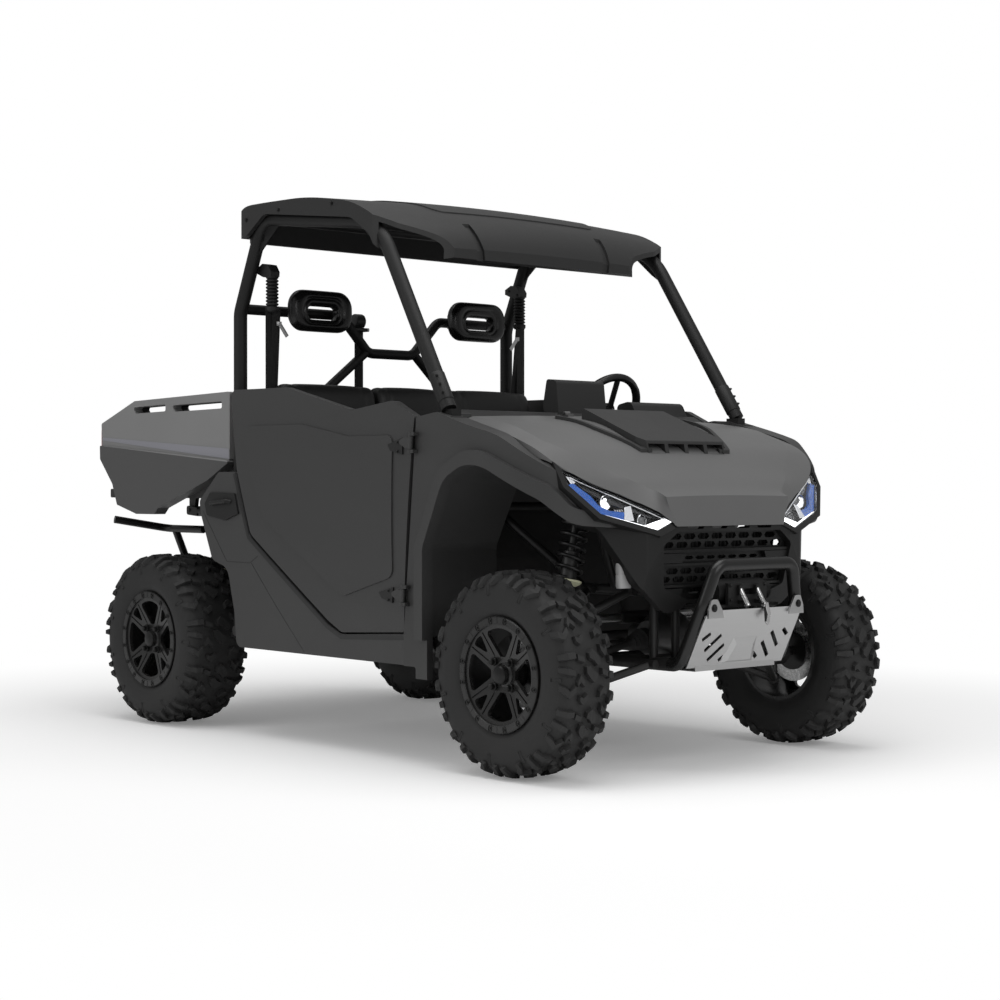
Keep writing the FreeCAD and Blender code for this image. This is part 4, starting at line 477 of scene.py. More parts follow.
# Lugs of one pitch as rows of (across, start, end), in metres along the tread
LUG_ROWS = [
    [(-0.014, 0.006, 0.026), (0.002, -0.008, 0.034), (0.016, 0.004, 0.050), (0.030, 0.022, 0.046)],
    [(0.026, -0.062, -0.038), (0.042, -0.076, -0.050), (0.056, -0.064, -0.044)],
    [(0.036, 0.056, 0.078), (0.060, 0.064, 0.088)],
    [(0.040, -0.020, 0.004), (0.056, -0.004, 0.024), (0.066, -0.018, 0.002)],
    [(0.072, -0.036, -0.010), (0.086, -0.056, -0.028), (0.098, -0.046, -0.016), (0.108, -0.030, -0.012)],
    [(0.066, 0.070, 0.094), (0.086, 0.068, 0.094), (0.106, 0.070, 0.092)],
    [(0.074, 0.016, 0.038), (0.090, 0.020, 0.046), (0.108, 0.030, 0.050)]]
STUD_ACROSS = 0.1125
# Rings of a stud as (half size, lift)
STUD_RINGS = ((0, 0.0008), (0.0045, 0.0008), (0.0065, 0.0032), (0.008, -0.002))


def wheel_frame(node):
    """Middle of a wheel's tyre, half of its width and its radius."""
    low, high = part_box(node)
    return (low + high) / 2, (high.y - low.y) / 2, (high.z - low.z) / 2


def build_tyre(node, body):
    """Tyre with a rounded carcass, blocks and shoulder lugs all round, replacing the plain one."""
    centre, half, top = wheel_frame(node)
    outside = 1.0 if centre.y > 0 else -1.0
    profile = tyre_profile(half, top - LUG_DEPTH)
    ring = profile + [(-a, r) for a, r in reversed(profile[:-1])]
    widen = half / DRAWN_HALF

    def place(radius, angle, across):
        return centre.x + radius * cos(angle), centre.y + outside * across, centre.z + radius * sin(angle)

    def lug_point(across, along, lift):
        radius, slope = carcass_point(profile, across)
        side = across + copysign(lift * sin(slope), across)
        return place(radius + lift * cos(slope), along / TREAD_RADIUS, side)

    verts = [place(radius, 2 * pi * i / CARCASS_STEPS, across)
             for i in range(CARCASS_STEPS) for across, radius in ring]
    faces = []
    count = len(ring)
    for i in range(CARCASS_STEPS):
        a, b = i * count, (i + 1) % CARCASS_STEPS * count
        faces += [(a + k, a + k + 1, b + k + 1, b + k) for k in range(count - 1)]
    smooth_count = len(faces)
    pitch = 2 * pi * TREAD_RADIUS / TREAD_PITCHES
    for i in range(TREAD_PITCHES):
        for side in (1, -1):
            shift = pitch * i + (pitch / 2 if side < 0 else 0)
            for row in LUG_ROWS:
                first = len(verts)
                for across, start, end in row:
                    across = min(across * widen, half - 0.004)
                    for along, lift in ((start - 0.002, -0.004), (start + 0.003, LUG_DEPTH),
                                        (end - 0.003, LUG_DEPTH), (end + 0.002, -0.004)):
                        verts.append(lug_point(side * across, shift + side * along, lift))
                last = first + (len(row) - 1) * 4
                for a in range(first, last, 4):
                    faces += [(a + edge, a + edge + 1, a + edge + 5, a + edge + 4) for edge in range(3)]
                faces.append((first, first + 1, first + 2, first + 3))
                faces.append((last + 3, last + 2, last + 1, last))
            first = len(verts)
            for size, lift in STUD_RINGS:
                for u, v in ((-1, -1), (1, -1), (1, 1), (-1, 1)):
                    across = min(STUD_ACROSS * widen + u * size, half - 0.0005)
                    verts.append(lug_point(side * across, shift + side * (0.004 + v * size), lift))
            for a in range(first, first + 12, 4):
                faces += [(a + edge, a + (edge + 1) % 4, a + 4 + (edge + 1) % 4, a + 4 + edge) for edge in range(4)]
    mesh = mesh_of("tread_" + node, verts, faces)
    builder = bmesh.new()
    builder.from_mesh(mesh)
    bmesh.ops.recalc_face_normals(builder, faces=builder.faces)
    for face in builder.faces:
        face.smooth = face.index < smooth_count
    builder.to_mesh(mesh)
    builder.free()
    piece = new_piece("tread_" + node, mesh, "tyre_rubber", body)
    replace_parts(piece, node)


# Forms

class Form:
    """A mesh gathered from simple operations before it becomes a piece."""

    def __init__(self):
        self.mesh = bmesh.new()

    def skin(self, rings, closed=False):
        """Faces between rings of points. Open runs of rings get flat ends."""
        rows = [[self.mesh.verts.new(point) for point in ring] for ring in rings]
        count = len(rows[0])
        pairs = list(zip(rows, rows[1:])) + ([(rows[-1], rows[0])] if closed else [])
        for a, b in pairs:
            for i in range(count):
                j = (i + 1) % count
                self.mesh.faces.new((a[i], a[j], b[j], b[i]))
        if not closed:
            self.mesh.faces.new(list(reversed(rows[0])))
            self.mesh.faces.new(rows[-1])

    def turned(self, profile, centre, axis, steps, closed=False):
        """A profile of (radius, along) in metres turned round an axis."""
        axis = Vector(axis).normalized()
        side = axis.orthogonal().normalized()
        over = axis.cross(side)
        rings = []
        for radius, along in profile:
            middle = Vector(centre) + axis * along
            rings.append([middle + (side * cos(a) + over * sin(a)) * radius
                          for a in (2 * pi * i / steps for i in range(steps))])
        self.skin(rings, closed)

    def tube(self, points, radius, sides, flat=1.0, up=None):
        """A bar through points. With flat under 1 it is a strip, thin along its second direction."""
        points = [Vector(p) for p in points]
        side = Vector(up).normalized() if up else (points[1] - points[0]).orthogonal().normalized()
        rings = []
        for i, point in enumerate(points):
            ahead = (points[min(i + 1, len(points) - 1)] - points[max(i - 1, 0)]).normalized()
            side = (side - ahead * side.dot(ahead)).normalized()
            over = ahead.cross(side)
            rings.append([point + (side * cos(a) + over * sin(a) * flat) * radius
                          for a in (2 * pi * k / sides for k in range(sides))])
        self.skin(rings)

    def slab(self, outline, depth):
        """A flat outline given depth along a vector."""
        self.skin([outline, [Vector(p) + Vector(depth) for p in outline]])

    def screw(self, place, out, radius=0.006):
        """A flanged screw head that stands on a surface."""
        self.turned([(radius * 1.5, -0.002), (radius * 1.5, 0.001), (radius * 1.35, 0.0018), (radius * 0.7, 0.0018)],
                    place, out, 18)
        self.turned([(radius * 0.95, 0.001), (radius * 0.95, 0.0045), (radius * 0.75, 0.0058)], place, out, 6)

    def both_sides(self):
        """Adds the mirror image across the vehicle."""
        copy = bmesh.ops.duplicate(self.mesh, geom=self.mesh.verts[:] + self.mesh.edges[:] + self.mesh.faces[:])
        for vert in (item for item in copy["geom"] if isinstance(item, bmesh.types.BMVert)):
            vert.co.y = -vert.co.y

    def piece(self, name, finish, slot, body="chassis", crease=35, soft_edge=0.0):
        """Turns the form into an object on a body, sharp at edges over the crease in degrees."""
        bmesh.ops.remove_doubles(self.mesh, verts=self.mesh.verts, dist=1e-6)
        bmesh.ops.recalc_face_normals(self.mesh, faces=self.mesh.faces)
        mesh = bpy.data.meshes.new(name)
        self.mesh.to_mesh(mesh)
        self.mesh.free()
        mesh.shade_smooth()
        mesh.set_sharp_from_angle(angle=radians(crease))
        made = new_piece(name, mesh, finish, body)
        if soft_edge:
            edge = made.modifiers.new("soft_edge", "BEVEL")
            edge.width = soft_edge
            edge.segments = 2
            edge.limit_method = "ANGLE"
        return made


def skin_place(node, x, z, lift):
    """A place on a part's left face, found from the side, and a little out from it."""
    hit, place, normal, _ = NODES[node].ray_cast(Vector((x, 2, z)), Vector((0, -1, 0)))
    return place + normal * lift if hit else None


def skin_band(form, node, path, half_width, lift):
    """A thin band that follows a part's left face along points given as (x, z)."""
    stations = []
    for (x0, z0), (x1, z1) in zip(path, path[1:]):
        steps = max(1, round(dist((x0, z0), (x1, z1)) / 0.02))
        stations += [(x0 + (x1 - x0) * i / steps, z0 + (z1 - z0) * i / steps) for i in range(steps)]
    stations.append(path[-1])
    sunk = Vector((0, 0.003, 0))
    rows = []
    for i, (x, z) in enumerate(stations):
        before, after = stations[max(i - 1, 0)], stations[min(i + 1, len(stations) - 1)]
        run = Vector((after[0] - before[0], 0, after[1] - before[1])).normalized()
        over = Vector((-run.z, 0, run.x)) * half_width
        middle = skin_place(node, x, z, lift)
        if middle is None:
            continue
        upper, lower = (skin_place(node, x + side * over.x, z + side * over.z, lift) or middle + over * side
                        for side in (1, -1))
        rows.append([upper - sunk, upper, lower, lower - sunk])
    form.skin(rows)


def rounded_rect(half_wide, half_tall, bend, steps):
    """A rounded rectangle's outline as (across, up)."""
    points = []
    for turn, (right, top) in enumerate(((1, 1), (-1, 1), (-1, -1), (1, -1))):
        for i in range(steps + 1):
            angle = pi / 2 * (turn + i / steps)
            points.append((right * (half_wide - bend) + bend * cos(angle),
                           top * (half_tall - bend) + bend * sin(angle)))
    return points


# Headlights

LENS_EDGE = [(632, 1002), (265, 836), (343, 806), (544, 862), (629, 958)]
LENS_DROP = Vector((-80, -14, -30)).normalized()
# Parts behind the lens: name, finish, front and back depth, outline as (y, z)
LAMP_PARTS = (
    ("light_strip", "lamp_white", 4, 12,
     ((542, 864), (346, 809), (273, 835), (299, 848), (322, 843), (388, 826), (521, 861))),
    ("blue_trim", "lamp_blue", 7, 22, ((624, 958), (545, 868), (504, 856), (458, 846), (444, 870), (500, 876),
                                       (533, 893), (551, 924), (600, 966))),
    ("lamp_divider", "lamp_chrome", 5, 46, ((438, 886), (411, 892), (420, 842), (458, 842))),
    ("tip_reflector", "lamp_chrome", 8, 20, ((617, 990), (600, 982), (586, 968), (606, 960))),
    ("upper_shade", "lamp_bowl", 16, 30, ((590, 976), (330, 860), (345, 852), (470, 896), (560, 944))),
    ("upper_line", "lamp_chrome", 5, 9, ((604, 986), (284, 841), (288, 839), (607, 981))))


def lens_place(y, z, depth):
    """A point of the left headlight, a depth in millimetres behind the lens face."""
    x = fore(226) * 1000 - 0.198 * (y - 544) - 0.531 * (z - 858)
    return (Vector((x, y, z)) + LENS_DROP * depth) / 1000


def lens_outline(shrink, depth):
    """The lens outline shrunk about its middle, a depth behind the face."""
    middle_y = sum(y for y, z in LENS_EDGE) / len(LENS_EDGE)
    middle_z = sum(z for y, z in LENS_EDGE) / len(LENS_EDGE)
    return [lens_place(middle_y + (y - middle_y) * shrink, middle_z + (z - middle_z) * shrink, depth)
            for y, z in LENS_EDGE]


def projector(name, y, z, depth, radius, lit):
    """Chrome ring and domed glass of one lamp."""
    centre = lens_place(y, z, depth)
    ring = Form()
    ring.turned([(radius, -0.03), (radius, 0.002), (radius * 0.93, 0.004), (radius * 0.84, 0.001),
                 (radius * 0.8, -0.03)], centre, FORWARD, 40, closed=True)
    ring.both_sides()
    ring.piece(name + "_ring", "lamp_chrome", "lamp_clear")
    ball = Form()
    ball.turned([(radius * 0.8, -0.012), (radius * 0.72, -0.003), (radius * 0.5, 0.003), (radius * 0.2, 0.0058),
                 (0, 0.006)], centre, FORWARD, 40)
    ball.both_sides()
    ball.piece(name + "_glass", lit, "lamp_clear")


def build_headlights():
    """Clear lens over a dark bowl with two lamps, a lit strip along the lower edge and a blue trim."""
    bowl = Form()
    bowl.skin([lens_outline(shrink, depth) for shrink, depth in (
        (0.995, 3), (0.995, 84), (0.93, 84), (0.90, 50), (0.955, 16), (0.965, 3))], closed=True)
    bowl.slab(lens_outline(0.92, 50), LENS_DROP * 0.03)
    bowl.both_sides()
    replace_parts(bowl.piece("headlight_bowl", "lamp_bowl", "lamp_clear"), "headlights")
    lens = Form()
    lens.slab(lens_outline(1.0, 0), LENS_DROP * 0.0025)
    lens.both_sides()
    lens.piece("headlight_lens", "lens_clear", "lamp_clear")
    projector("main_lamp", 492, 906, 24, 0.027, "lamp_white")
    projector("inner_lamp", 378, 848, 24, 0.021, "lamp_glass")
    for name, finish, front, back, outline in LAMP_PARTS:
        form = Form()
        form.slab([lens_place(y, z, front) for y, z in outline], LENS_DROP * (back - front) / 1000)
        form.both_sides()
        form.piece(name, finish, "lamp_clear", soft_edge=0.0012)
    ribs = Form()
    for y in range(470, 430, -9):
        ribs.slab([lens_place(y - step, z, 20) for step, z in ((0, 868), (0, 884), (4, 882), (4, 866))],
                  LENS_DROP * 0.02)
    ribs.both_sides()
    ribs.piece("lamp_ribs", "lamp_chrome", "lamp_clear")


# Seats and belts

SEAT_SPANS = ((-634, -191), (-178, 178), (191, 634))
SEAT_BASE = ((686, 669), (1006, 690), (1098, 714), (1104, 786), (1046, 825), (850, 812), (686, 789))
SEAT_BACK = ((592, 662), (674, 668), (676, 822), (764, 848), (756, 900), (728, 1130), (700, 1350), (642, 1363),
             (594, 1340), (600, 1000))
OUTLINE_POINTS = 96
CUSHION_RINGS = 37
# Rings of a headrest as (half width, half height, corner, forward, drop)
HEADREST_RINGS = (
    (147, 79, 64, 2, 0), (149, 81, 66, 8, 0), (149, 81, 66, 24, 0), (146, 78, 64, 34, 0), (138, 71, 60, 41, 0),
    (124, 62, 54, 45, 0), (104, 55, 50, 45, 1), (97, 52, 47, 40, 1), (91, 48, 43, 40, 2), (86, 44, 40, 44, 3),
    (79, 34, 32, 42, 6), (72, 25, 24, 34, 8), (72, 25, 24, 6, 8), (80, 34, 32, 2, 6))


def resampled(points, count):
    """Evenly spaced points round a closed outline."""
    loop = [Vector(p) for p in points]
    runs = [(a, b, (b - a).length) for a, b in zip(loop, loop[1:] + loop[:1])]
    total = sum(run[2] for run in runs)
    result = []
    for i in range(count):
        goal = total * i / count
        for a, b, length in runs:
            if goal <= length:
                result.append(a + (b - a) * (goal / length))
                break
            goal -= length
    return result


def smoothed(loop, rounds):
    """An outline with its corners eased."""
    for _ in range(rounds):
        loop = [(loop[i - 1] + point * 2 + loop[(i + 1) % len(loop)]) / 4 for i, point in enumerate(loop)]
    return loop


def rounded(piece):
    """Subdivides a piece once, for the soft shape of padding."""
    smooth = piece.modifiers.new("padding", "SUBSURF")
    smooth.levels = smooth.render_levels = 1


def upholstered(name, outline, y0, y1, seams):
    """A sewn cushion: a side outline carried across, drawn in at its ends, crowned and stitched.

    The outline is in millimetres from the rear axle, and seams are places round it from 0 to 1."""
    loop = smoothed(resampled([(aft(x) * 1000, z) for x, z in outline], OUTLINE_POINTS), 10)
    middle = sum(loop, Vector((0, 0))) / len(loop)
    half = (y1 - y0) / 2
    rings = []
    for k in range(CUSHION_RINGS):
        share = -cos(pi * k / (CUSHION_RINGS - 1))
        edge = max(0.0, (abs(share) * half - (half - 32)) / 32)
        pull = 20 * (1 - sqrt(max(0.0, 1 - edge * edge)))
        welt = abs(abs(share) - 0.72) * half
        sunk = pull + 5 * share * share + 4.5 * exp(-(welt / 5) ** 2)
        ring = []
        for i, point in enumerate(loop):
            ahead = loop[(i + 1) % len(loop)] - loop[i - 1]
            normal = Vector((ahead.y, -ahead.x)).normalized()
            if normal.dot(point - middle) < 0:
                normal = -normal
            stitch = sum(5 * exp(-((i - seam * OUTLINE_POINTS) / 0.9) ** 2) for seam in seams)
            moved = point - normal * (sunk + stitch)
            ring.append(Vector((moved.x, (y0 + y1) / 2 + share * (half - 1), moved.y)) / 1000)
        rings.append(ring)
    form = Form()
    form.skin(rings)
    made = form.piece(name, "seat_vinyl", "seat_vinyl", crease=70)
    rounded(made)
    return made


def build_seats():
    """Three sewn cushions and three backs in place of the plain ones."""
    made = []
    for label, (y0, y1) in zip(("right", "middle", "left"), SEAT_SPANS):
        trim = 13 if y1 - y0 > 400 else 2
        made.append(upholstered("seat_base_" + label, SEAT_BASE, y0 + trim, y1 - trim, (0.40, 0.56, 0.72)))
        made.append(upholstered("seat_back_" + label, SEAT_BACK, y0, y1, (0.30, 0.42, 0.54, 0.66)))
    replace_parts(made[0], "seats")


def build_headrests():
    """Oval rings with a stepped face and an open middle, on two clamps each."""
    middle_y, middle_z = 405, 1636
    form = Form()
    form.skin([[from_rear(594 + x, middle_y + u, middle_z - drop + v) for u, v in rounded_rect(a, b, r, 8)]
               for a, b, r, x, drop in HEADREST_RINGS], closed=True)
    form.both_sides()
    pads = form.piece("headrest_rings", "headrest_skin", "soft_black", crease=60)
    rounded(pads)
    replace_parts(pads, "headrests")
    clamps = Form()
    for y in (middle_y - 120, middle_y + 96):
        clamps.slab([from_rear(x, y, z) for x, z in ((566, 1606), (600, 1614), (600, 1658), (566, 1662))],
                    (0, 0.024, 0))
        for z in (1622, 1650):
            clamps.screw(from_rear(584, y, z), (0, -1, 0), 0.004)
    clamps.both_sides()
    clamps.piece("headrest_clamps", "cage_paint", "soft_black", soft_edge=0.0015)


def strap(form, points, half_width):
    """Flat webbing through points, with its wide side across the vehicle."""
    form.tube(points, half_width, 12, 0.04, LEFT)


def build_belts():
    """Bellows boots and guides on the cage, webbing, tongues and the middle belt's reel."""
    y = 640
    boots = Form()
    profile = [(0, 0)]
    for start in (i * 0.0128 for i in range(9)):
        profile += [(0.0245, 0.002 + start), (0.0245, 0.0065 + start), (0.0185, 0.0105 + start)]
    profile += [(0.0245, 0.118), (0.0245, 0.124), (0, 0.124)]
    for bent in (profile, [(0, -0.012), (0.022, -0.012), (0.0262, -0.006), (0.0262, 0.006), (0, 0.006)]):
        boots.turned(bent, from_rear(622, y, 1632), UP, 28)
    boots.both_sides()
    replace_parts(boots.piece("belt_boots", "boot_rubber", "belt_black", crease=25), "seat_belts")
    guides = Form()
    guides.slab([from_rear(x, y - 20, z) for x, z in (
        (642, 1754), (644, 1772), (624, 1800), (588, 1806), (552, 1790), (552, 1770), (592, 1754))], (0, 0.042, 0))
    for x, z, radius in ((577, 1784, 0.005), (628, 1764, 0.004)):
        guides.screw(from_rear(x, y - 20, z), (0, -1, 0), radius)
    guides.both_sides()
    guides.piece("belt_guides", "dash_plastic", "belt_black", soft_edge=0.003)
    webs = Form()
    strap(webs, [from_rear(620, y + 8, z) for z in (1636, 1500, 1340, 1100, 900, 720)], 0.022)
    strap(webs, [from_rear(634 - 12.5 * i, y - 12 - 2.5 * i, 1636 - 140 * i) for i in range(5)], 0.019)
    webs.both_sides()
    strap(webs, [from_rear(546, -163, z) for z in (1584, 1530, 1460, 1390, 1300, 1180)], 0.022)
    webs.piece("belt_webbing", "belt_webbing", "belt_black", crease=60)
    tongues = Form()
    for side in (1, -1):
        top = from_rear(634, side * (y - 24), 1578)
        tongues.tube([top, from_rear(634, side * (y - 62), 1528)], 0.009, 8, 0.15, (0, 1, 1))
        tongues.tube([top + Vector((0, 0, 0.006)), top - Vector((0, 0, 0.010))], 0.012, 10, 0.4, LEFT)
    tongues.piece("belt_tongues", "bright_steel", "belt_black", soft_edge=0.001)
    reel = Form()
    reel.turned([(0, -0.022), (0.026, -0.022), (0.030, -0.018), (0.030, 0.018), (0.026, 0.022), (0, 0.022)],
                from_rear(540, -163, 1614), LEFT, 28)
    reel.slab([from_rear(x, -204, z) for x, z in ((520, 1574), (562, 1574), (562, 1588), (520, 1588))],
              (0, 0.084, 0))
    reel.piece("middle_belt_reel", "dash_plastic", "belt_black", soft_edge=0.003)
    slot = Form()
    slot.slab([from_rear(563.5, y, z) for y, z in ((-132, 1577), (-132, 1585), (-124, 1585), (-124, 1577))],
              (0.001, 0, 0))
    slot.piece("middle_belt_slot", "bright_steel", "belt_black")


# Springs, wheels and brakes

COIL_TURNS = 5.5
COIL_STEPS = 110


def coil_over(dampers, springs, collars, top, bottom):
    """Damper, coil spring and spring seats between two ends."""
    run = top - bottom
    length = run.length
    axis = run.normalized()
    side = axis.orthogonal().normalized()
    over = axis.cross(side)
    start = length * 0.35
    end = length * 0.9
    dampers.turned([(0, 0), (0.012, 0), (0.014, 0.012), (0.014, length * 0.1), (0.026, length * 0.14),
                    (0.029, start), (0.034, start), (0.034, start + 0.004), (0.028, start + 0.006),
                    (0.028, length * 0.6), (0.013, length * 0.61), (0.013, length * 0.93)], bottom, axis, 28)
    dampers.turned([(0.014, end - 0.002), (0.045, end), (0.048, end + 0.004), (0.048, end + 0.010),
                    (0.028, end + 0.018), (0.015, length - 0.01), (0.010, length)], bottom, axis, 28)
    for along in (0, length):
        dampers.turned([(0, -0.016), (0.011, -0.016), (0.013, -0.013), (0.013, 0.013), (0.011, 0.016), (0, 0.016)],
                       bottom + axis * along, FORWARD, 20)
    collars.turned([(0.028, start - 0.018), (0.038, start - 0.012), (0.048, start - 0.004), (0.048, start + 0.002),
                    (0.028, start + 0.003)], bottom, axis, 28, closed=True)
    path = []
    for share in (i / COIL_STEPS for i in range(COIL_STEPS + 1)):
        angle = 2 * pi * COIL_TURNS * share
        along = start + 0.006 + (end - start - 0.012) * share
        path.append(bottom + axis * along + (side * cos(angle) + over * sin(angle)) * 0.042)
    springs.tube(path, 0.0064, 8)


def build_shocks():
    """Open coil springs round their dampers in place of the ribbed sleeves."""
    forms = dampers, springs, collars = Form(), Form(), Form()
    coil_over(*forms, from_front(0, 428, 884), from_front(0, 505, 505.5))
    coil_over(*forms, from_rear(0, 430, 816), from_rear(0, 472, 502))
    for form in forms:
        form.both_sides()
    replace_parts(dampers.piece("shock_dampers", "damper_black", "frame_black"), "shocks")
    springs.piece("shock_springs", "spring_black", "frame_black", crease=80)
    collars.piece("shock_collars", "collar_cream", "frame_black")


def dress_wheel(node, body):
    """Ring segments with sixteen slotted bolts, lug nuts and a bright brake disc whose drilling is drawn as dark dots
    of painted shade.
    """
    centre, half, _ = wheel_frame("tyre_" + node)
    out = Vector((0, 1 if centre.y > 0 else -1, 0))
    face = half - 0.007

    def spoke(angle):
        return Vector((cos(angle), 0, sin(angle)))

    def on_wheel(radius, angle, along):
        return centre + spoke(angle) * radius + out * along

    ring = Form()
    for i in range(8):
        ring.skin([[on_wheel(radius, pi / 4 * (i + 0.02 + 0.96 * k / 8), face + lift) for radius, lift in (
            (0.1675, -0.001), (0.1690, 0.0014), (0.1875, 0.0014), (0.1895, -0.001))] for k in range(9)])
    ring.piece("ring_plates_" + node, "rim_black", "rim_black", body, crease=30)
    bolts = Form()
    oval = [(cos(a) * 0.0068, sin(a) * 0.0068 + copysign(0.0028, sin(a) + 1e-9))
            for a in (2 * pi * k / 16 for k in range(16))]
    for i in range(16):
        angle = pi / 8 * (i + 0.5)
        place = on_wheel(0.1785, angle, face + 0.0012)
        along = out.cross(spoke(angle))
        bolts.skin([[place + along * u * grow + spoke(angle) * v * grow + out * lift for u, v in oval]
                    for grow, lift in ((1.25, 0), (1.15, 0.0022), (1, 0.0022), (0.95, 0))], closed=True)
        bolts.turned([(0.0045, 0), (0.0045, 0.0028), (0.0034, 0.0036)], place, out, 6)
    for i in range(4):
        bolts.turned([(0.0145, -0.006), (0.0145, 0), (0.0125, 0.001), (0.0110, 0.001), (0.0098, 0.012),
                      (0.0062, 0.0155)], on_wheel(0.057, pi / 2 * (i + 0.5), face - 0.0155), out, 6)
    bolts.turned([(0.030, -0.004), (0.0302, 0.002), (0.0265, 0.0058), (0.014, 0.0082), (0, 0.0088)],
                 centre + out * (face - 0.0075), out, 36)
    bolts.piece("wheel_bolts_" + node, "bolt_black", "rim_black", body, crease=30)
    disc = Form()
    disc.turned([(0.060, -0.0046), (0.1126, -0.0046), (0.1126, 0.0016), (0.060, 0.0016)], centre, out, 64,
                closed=True)
    disc.piece("brake_disc_" + node, "disc_steel", "rim_black", body, crease=30)
    # The drilling is not cut: each drilled hole is a small black disc on the disc face, painted shade where the hole
    # would be dark.
    painted_hole_shades = Form()
    for i in range(18):
        for radius, shift in ((0.104, 0), (0.094, 0.5), (0.084, 0)):
            place = on_wheel(radius, 2 * pi * (i + shift) / 18, 0.0012)
            painted_hole_shades.turned([(0.0026, 0), (0.0026, 0.0007), (0, 0.0007)], place, out, 8)
    painted_hole_shades.piece("disc_painted_hole_shade_" + node, "soft_black", "rim_black", body)


# Nose

def build_nose():
    """Bright fairlead rollers, hook and eye, plate bolts and the bottle behind the fascia."""
    rollers = Form()
    for y in (-42, 42):
        top = from_front(375, y, 615)
        run = from_front(414, y, 554) - top
        rollers.turned([(0, 0.004), (0.0096, 0.004), (0.0104, 0.007), (0.0098, 0.011), (0.0098, run.length - 0.008),
                        (0.0104, run.length - 0.004), (0.0094, run.length + 0.001), (0, run.length + 0.001)],
                       top, run, 24)
    rollers.piece("fairlead_rollers", "roller_steel", "bright_plate")
    hook = Form()
    hook.slab([from_front(416.4, y, z) for y, z in (
        (34, 561), (50, 565), (63, 525), (57, 500), (52, 487), (39.4, 497), (44, 512), (47, 524), (40, 540))],
        (0.0082, 0, 0))
    hook.turned([(0.004, -0.004), (0.010, -0.004), (0.0115, 0), (0.010, 0.012), (0.004, 0.012)],
                from_front(410, 42, 556), FORWARD, 20, closed=True)
    hook.piece("winch_hook", "roller_steel", "bright_plate", soft_edge=0.0015)
    bolts = Form()
    for y in (-212, 212):
        bolts.screw(from_front(419, y, 554), (0.96, 0, 0.1), 0.009)
    for y in (-86, 86):
        for z in (574, 622):
            bolts.screw(from_front(376, y, z), FORWARD, 0.005)
    bolts.piece("nose_bolts", "bolt_black", "trim_black")
    bottle = Form()
    bottle.skin([[from_front(206 + u * grow, -420 + v * grow, z) for u, v in rounded_rect(14, 30, 12, 4)]
                 for z, grow in ((618, 0.9), (626, 1), (660, 1), (664, 0.93), (668, 1), (735, 1), (746, 0.8),
                                 (752, 0.4))])
    bottle.turned([(0, 0), (0.010, 0), (0.0105, 0.012), (0, 0.012)], from_front(206, -420, 750), UP, 20)
    bottle.piece("coolant_bottle", "bottle_grey", "trim_black", crease=50)
    core = Form()
    core.slab([from_front(212, y, z) for y, z in ((-300, 596), (300, 596), (330, 800), (-330, 800))], (-0.02, 0, 0))
    for i in range(34):
        core.tube([from_front(213, i * 17.6 - 290, z) for z in (600, 796)], 0.0032, 6)
    core.piece("radiator_core", "bolt_black", "trim_black", crease=50)
    clips = Form()
    for i in range(7):
        clips.tube([from_front(x, (i - 3) * 78, 835) for x in (296, 302)], 0.004, 8)
    clips.piece("nose_clips", "bolt_black", "trim_black")


# Cab and cage details

def build_cab():
    """Display glass, vents, wheel boss, gear lever, floor ribs and pedals."""
    screen = Form()
    screen.slab([from_front(x, y, z) for x, y, z in (
        (-548.5, -52, 1262), (-548.5, 162, 1262), (-541.5, 162, 1334), (-541.5, -52, 1334))], (-0.0015, 0, 0))
    screen.piece("display_glass", "screen_glass", "dash_plastic", soft_edge=0.0006)
    vents = Form()
    for y in (-540, -250, 250):
        for i in range(4):
            vents.tube([from_front(-560 - 2 * i, y + end, 1120 + i * 12) for end in (-34, 34)],
                       0.0035, 8, 0.5, FORWARD)
    vents.piece("dash_vents", "trim_black", "dash_plastic")
    tilt = radians(30)
    toward = Vector((-cos(tilt), 0, sin(tilt)))
    up = toward.cross(Vector(LEFT))
    hub = from_front(-714, 400, 1235)
    boss = Form()
    boss.turned([(0, -0.016), (0.044, -0.012), (0.050, -0.004), (0.046, 0.004), (0.030, 0.009), (0, 0.0105)],
                hub, toward, 40)
    boss.piece("wheel_boss", "dash_plastic", "soft_black", "steering_wheel", crease=30)
    grips = Form()
    for middle in (0, pi):
        path = []
        for i in range(25):
            angle = middle - 0.75 + 1.5 * i / 24
            path.append(hub + (Vector(LEFT) * cos(angle) + up * sin(angle)) * 0.160)
        grips.tube(path, 0.0162, 14)
    grips.piece("wheel_grips", "seat_vinyl", "soft_black", "steering_wheel", crease=60)
    lever = Form()
    lever.tube([from_front(x, 190, z) for x, z in ((-560, 1080), (-600, 1130), (-612, 1160))], 0.006, 10)
    lever.turned([(0, 0), (0.014, 0.003), (0.019, 0.016), (0.017, 0.034), (0.009, 0.042), (0, 0.044)],
                 from_front(-610, 190, 1156), (-0.3, 0, 1), 24)
    lever.piece("gear_lever", "soft_black", "dash_plastic", crease=50)
    ribs = Form()
    for side in (1, -1):
        for y in range(150, 582, 36):
            ribs.tube([from_rear(1030, side * y, 431), from_front(-462, side * y, 431)], 0.005, 6, 0.6, LEFT)
    ribs.piece("floor_ribs", "floor_plastic", "floor_plastic")
    pedals = Form()
    for y, tall in ((330, 0.075), (440, 0.055)):
        pad = from_front(-500, y, 600)
        pedals.slab([pad + Vector((ahead, across, share * tall)) for ahead, across, share in (
            (0, -0.035, -0.5), (0, 0.035, -0.5), (0.02, 0.035, 0.5), (0.02, -0.035, 0.5))], (0.008, 0, 0.002))
        pedals.tube([pad + Vector((0.01, 0, 0)), pad + Vector((0.052, 0, 0.09))], 0.006, 8)
    pedals.piece("pedals", "bright_steel", "dash_plastic", soft_edge=0.002)


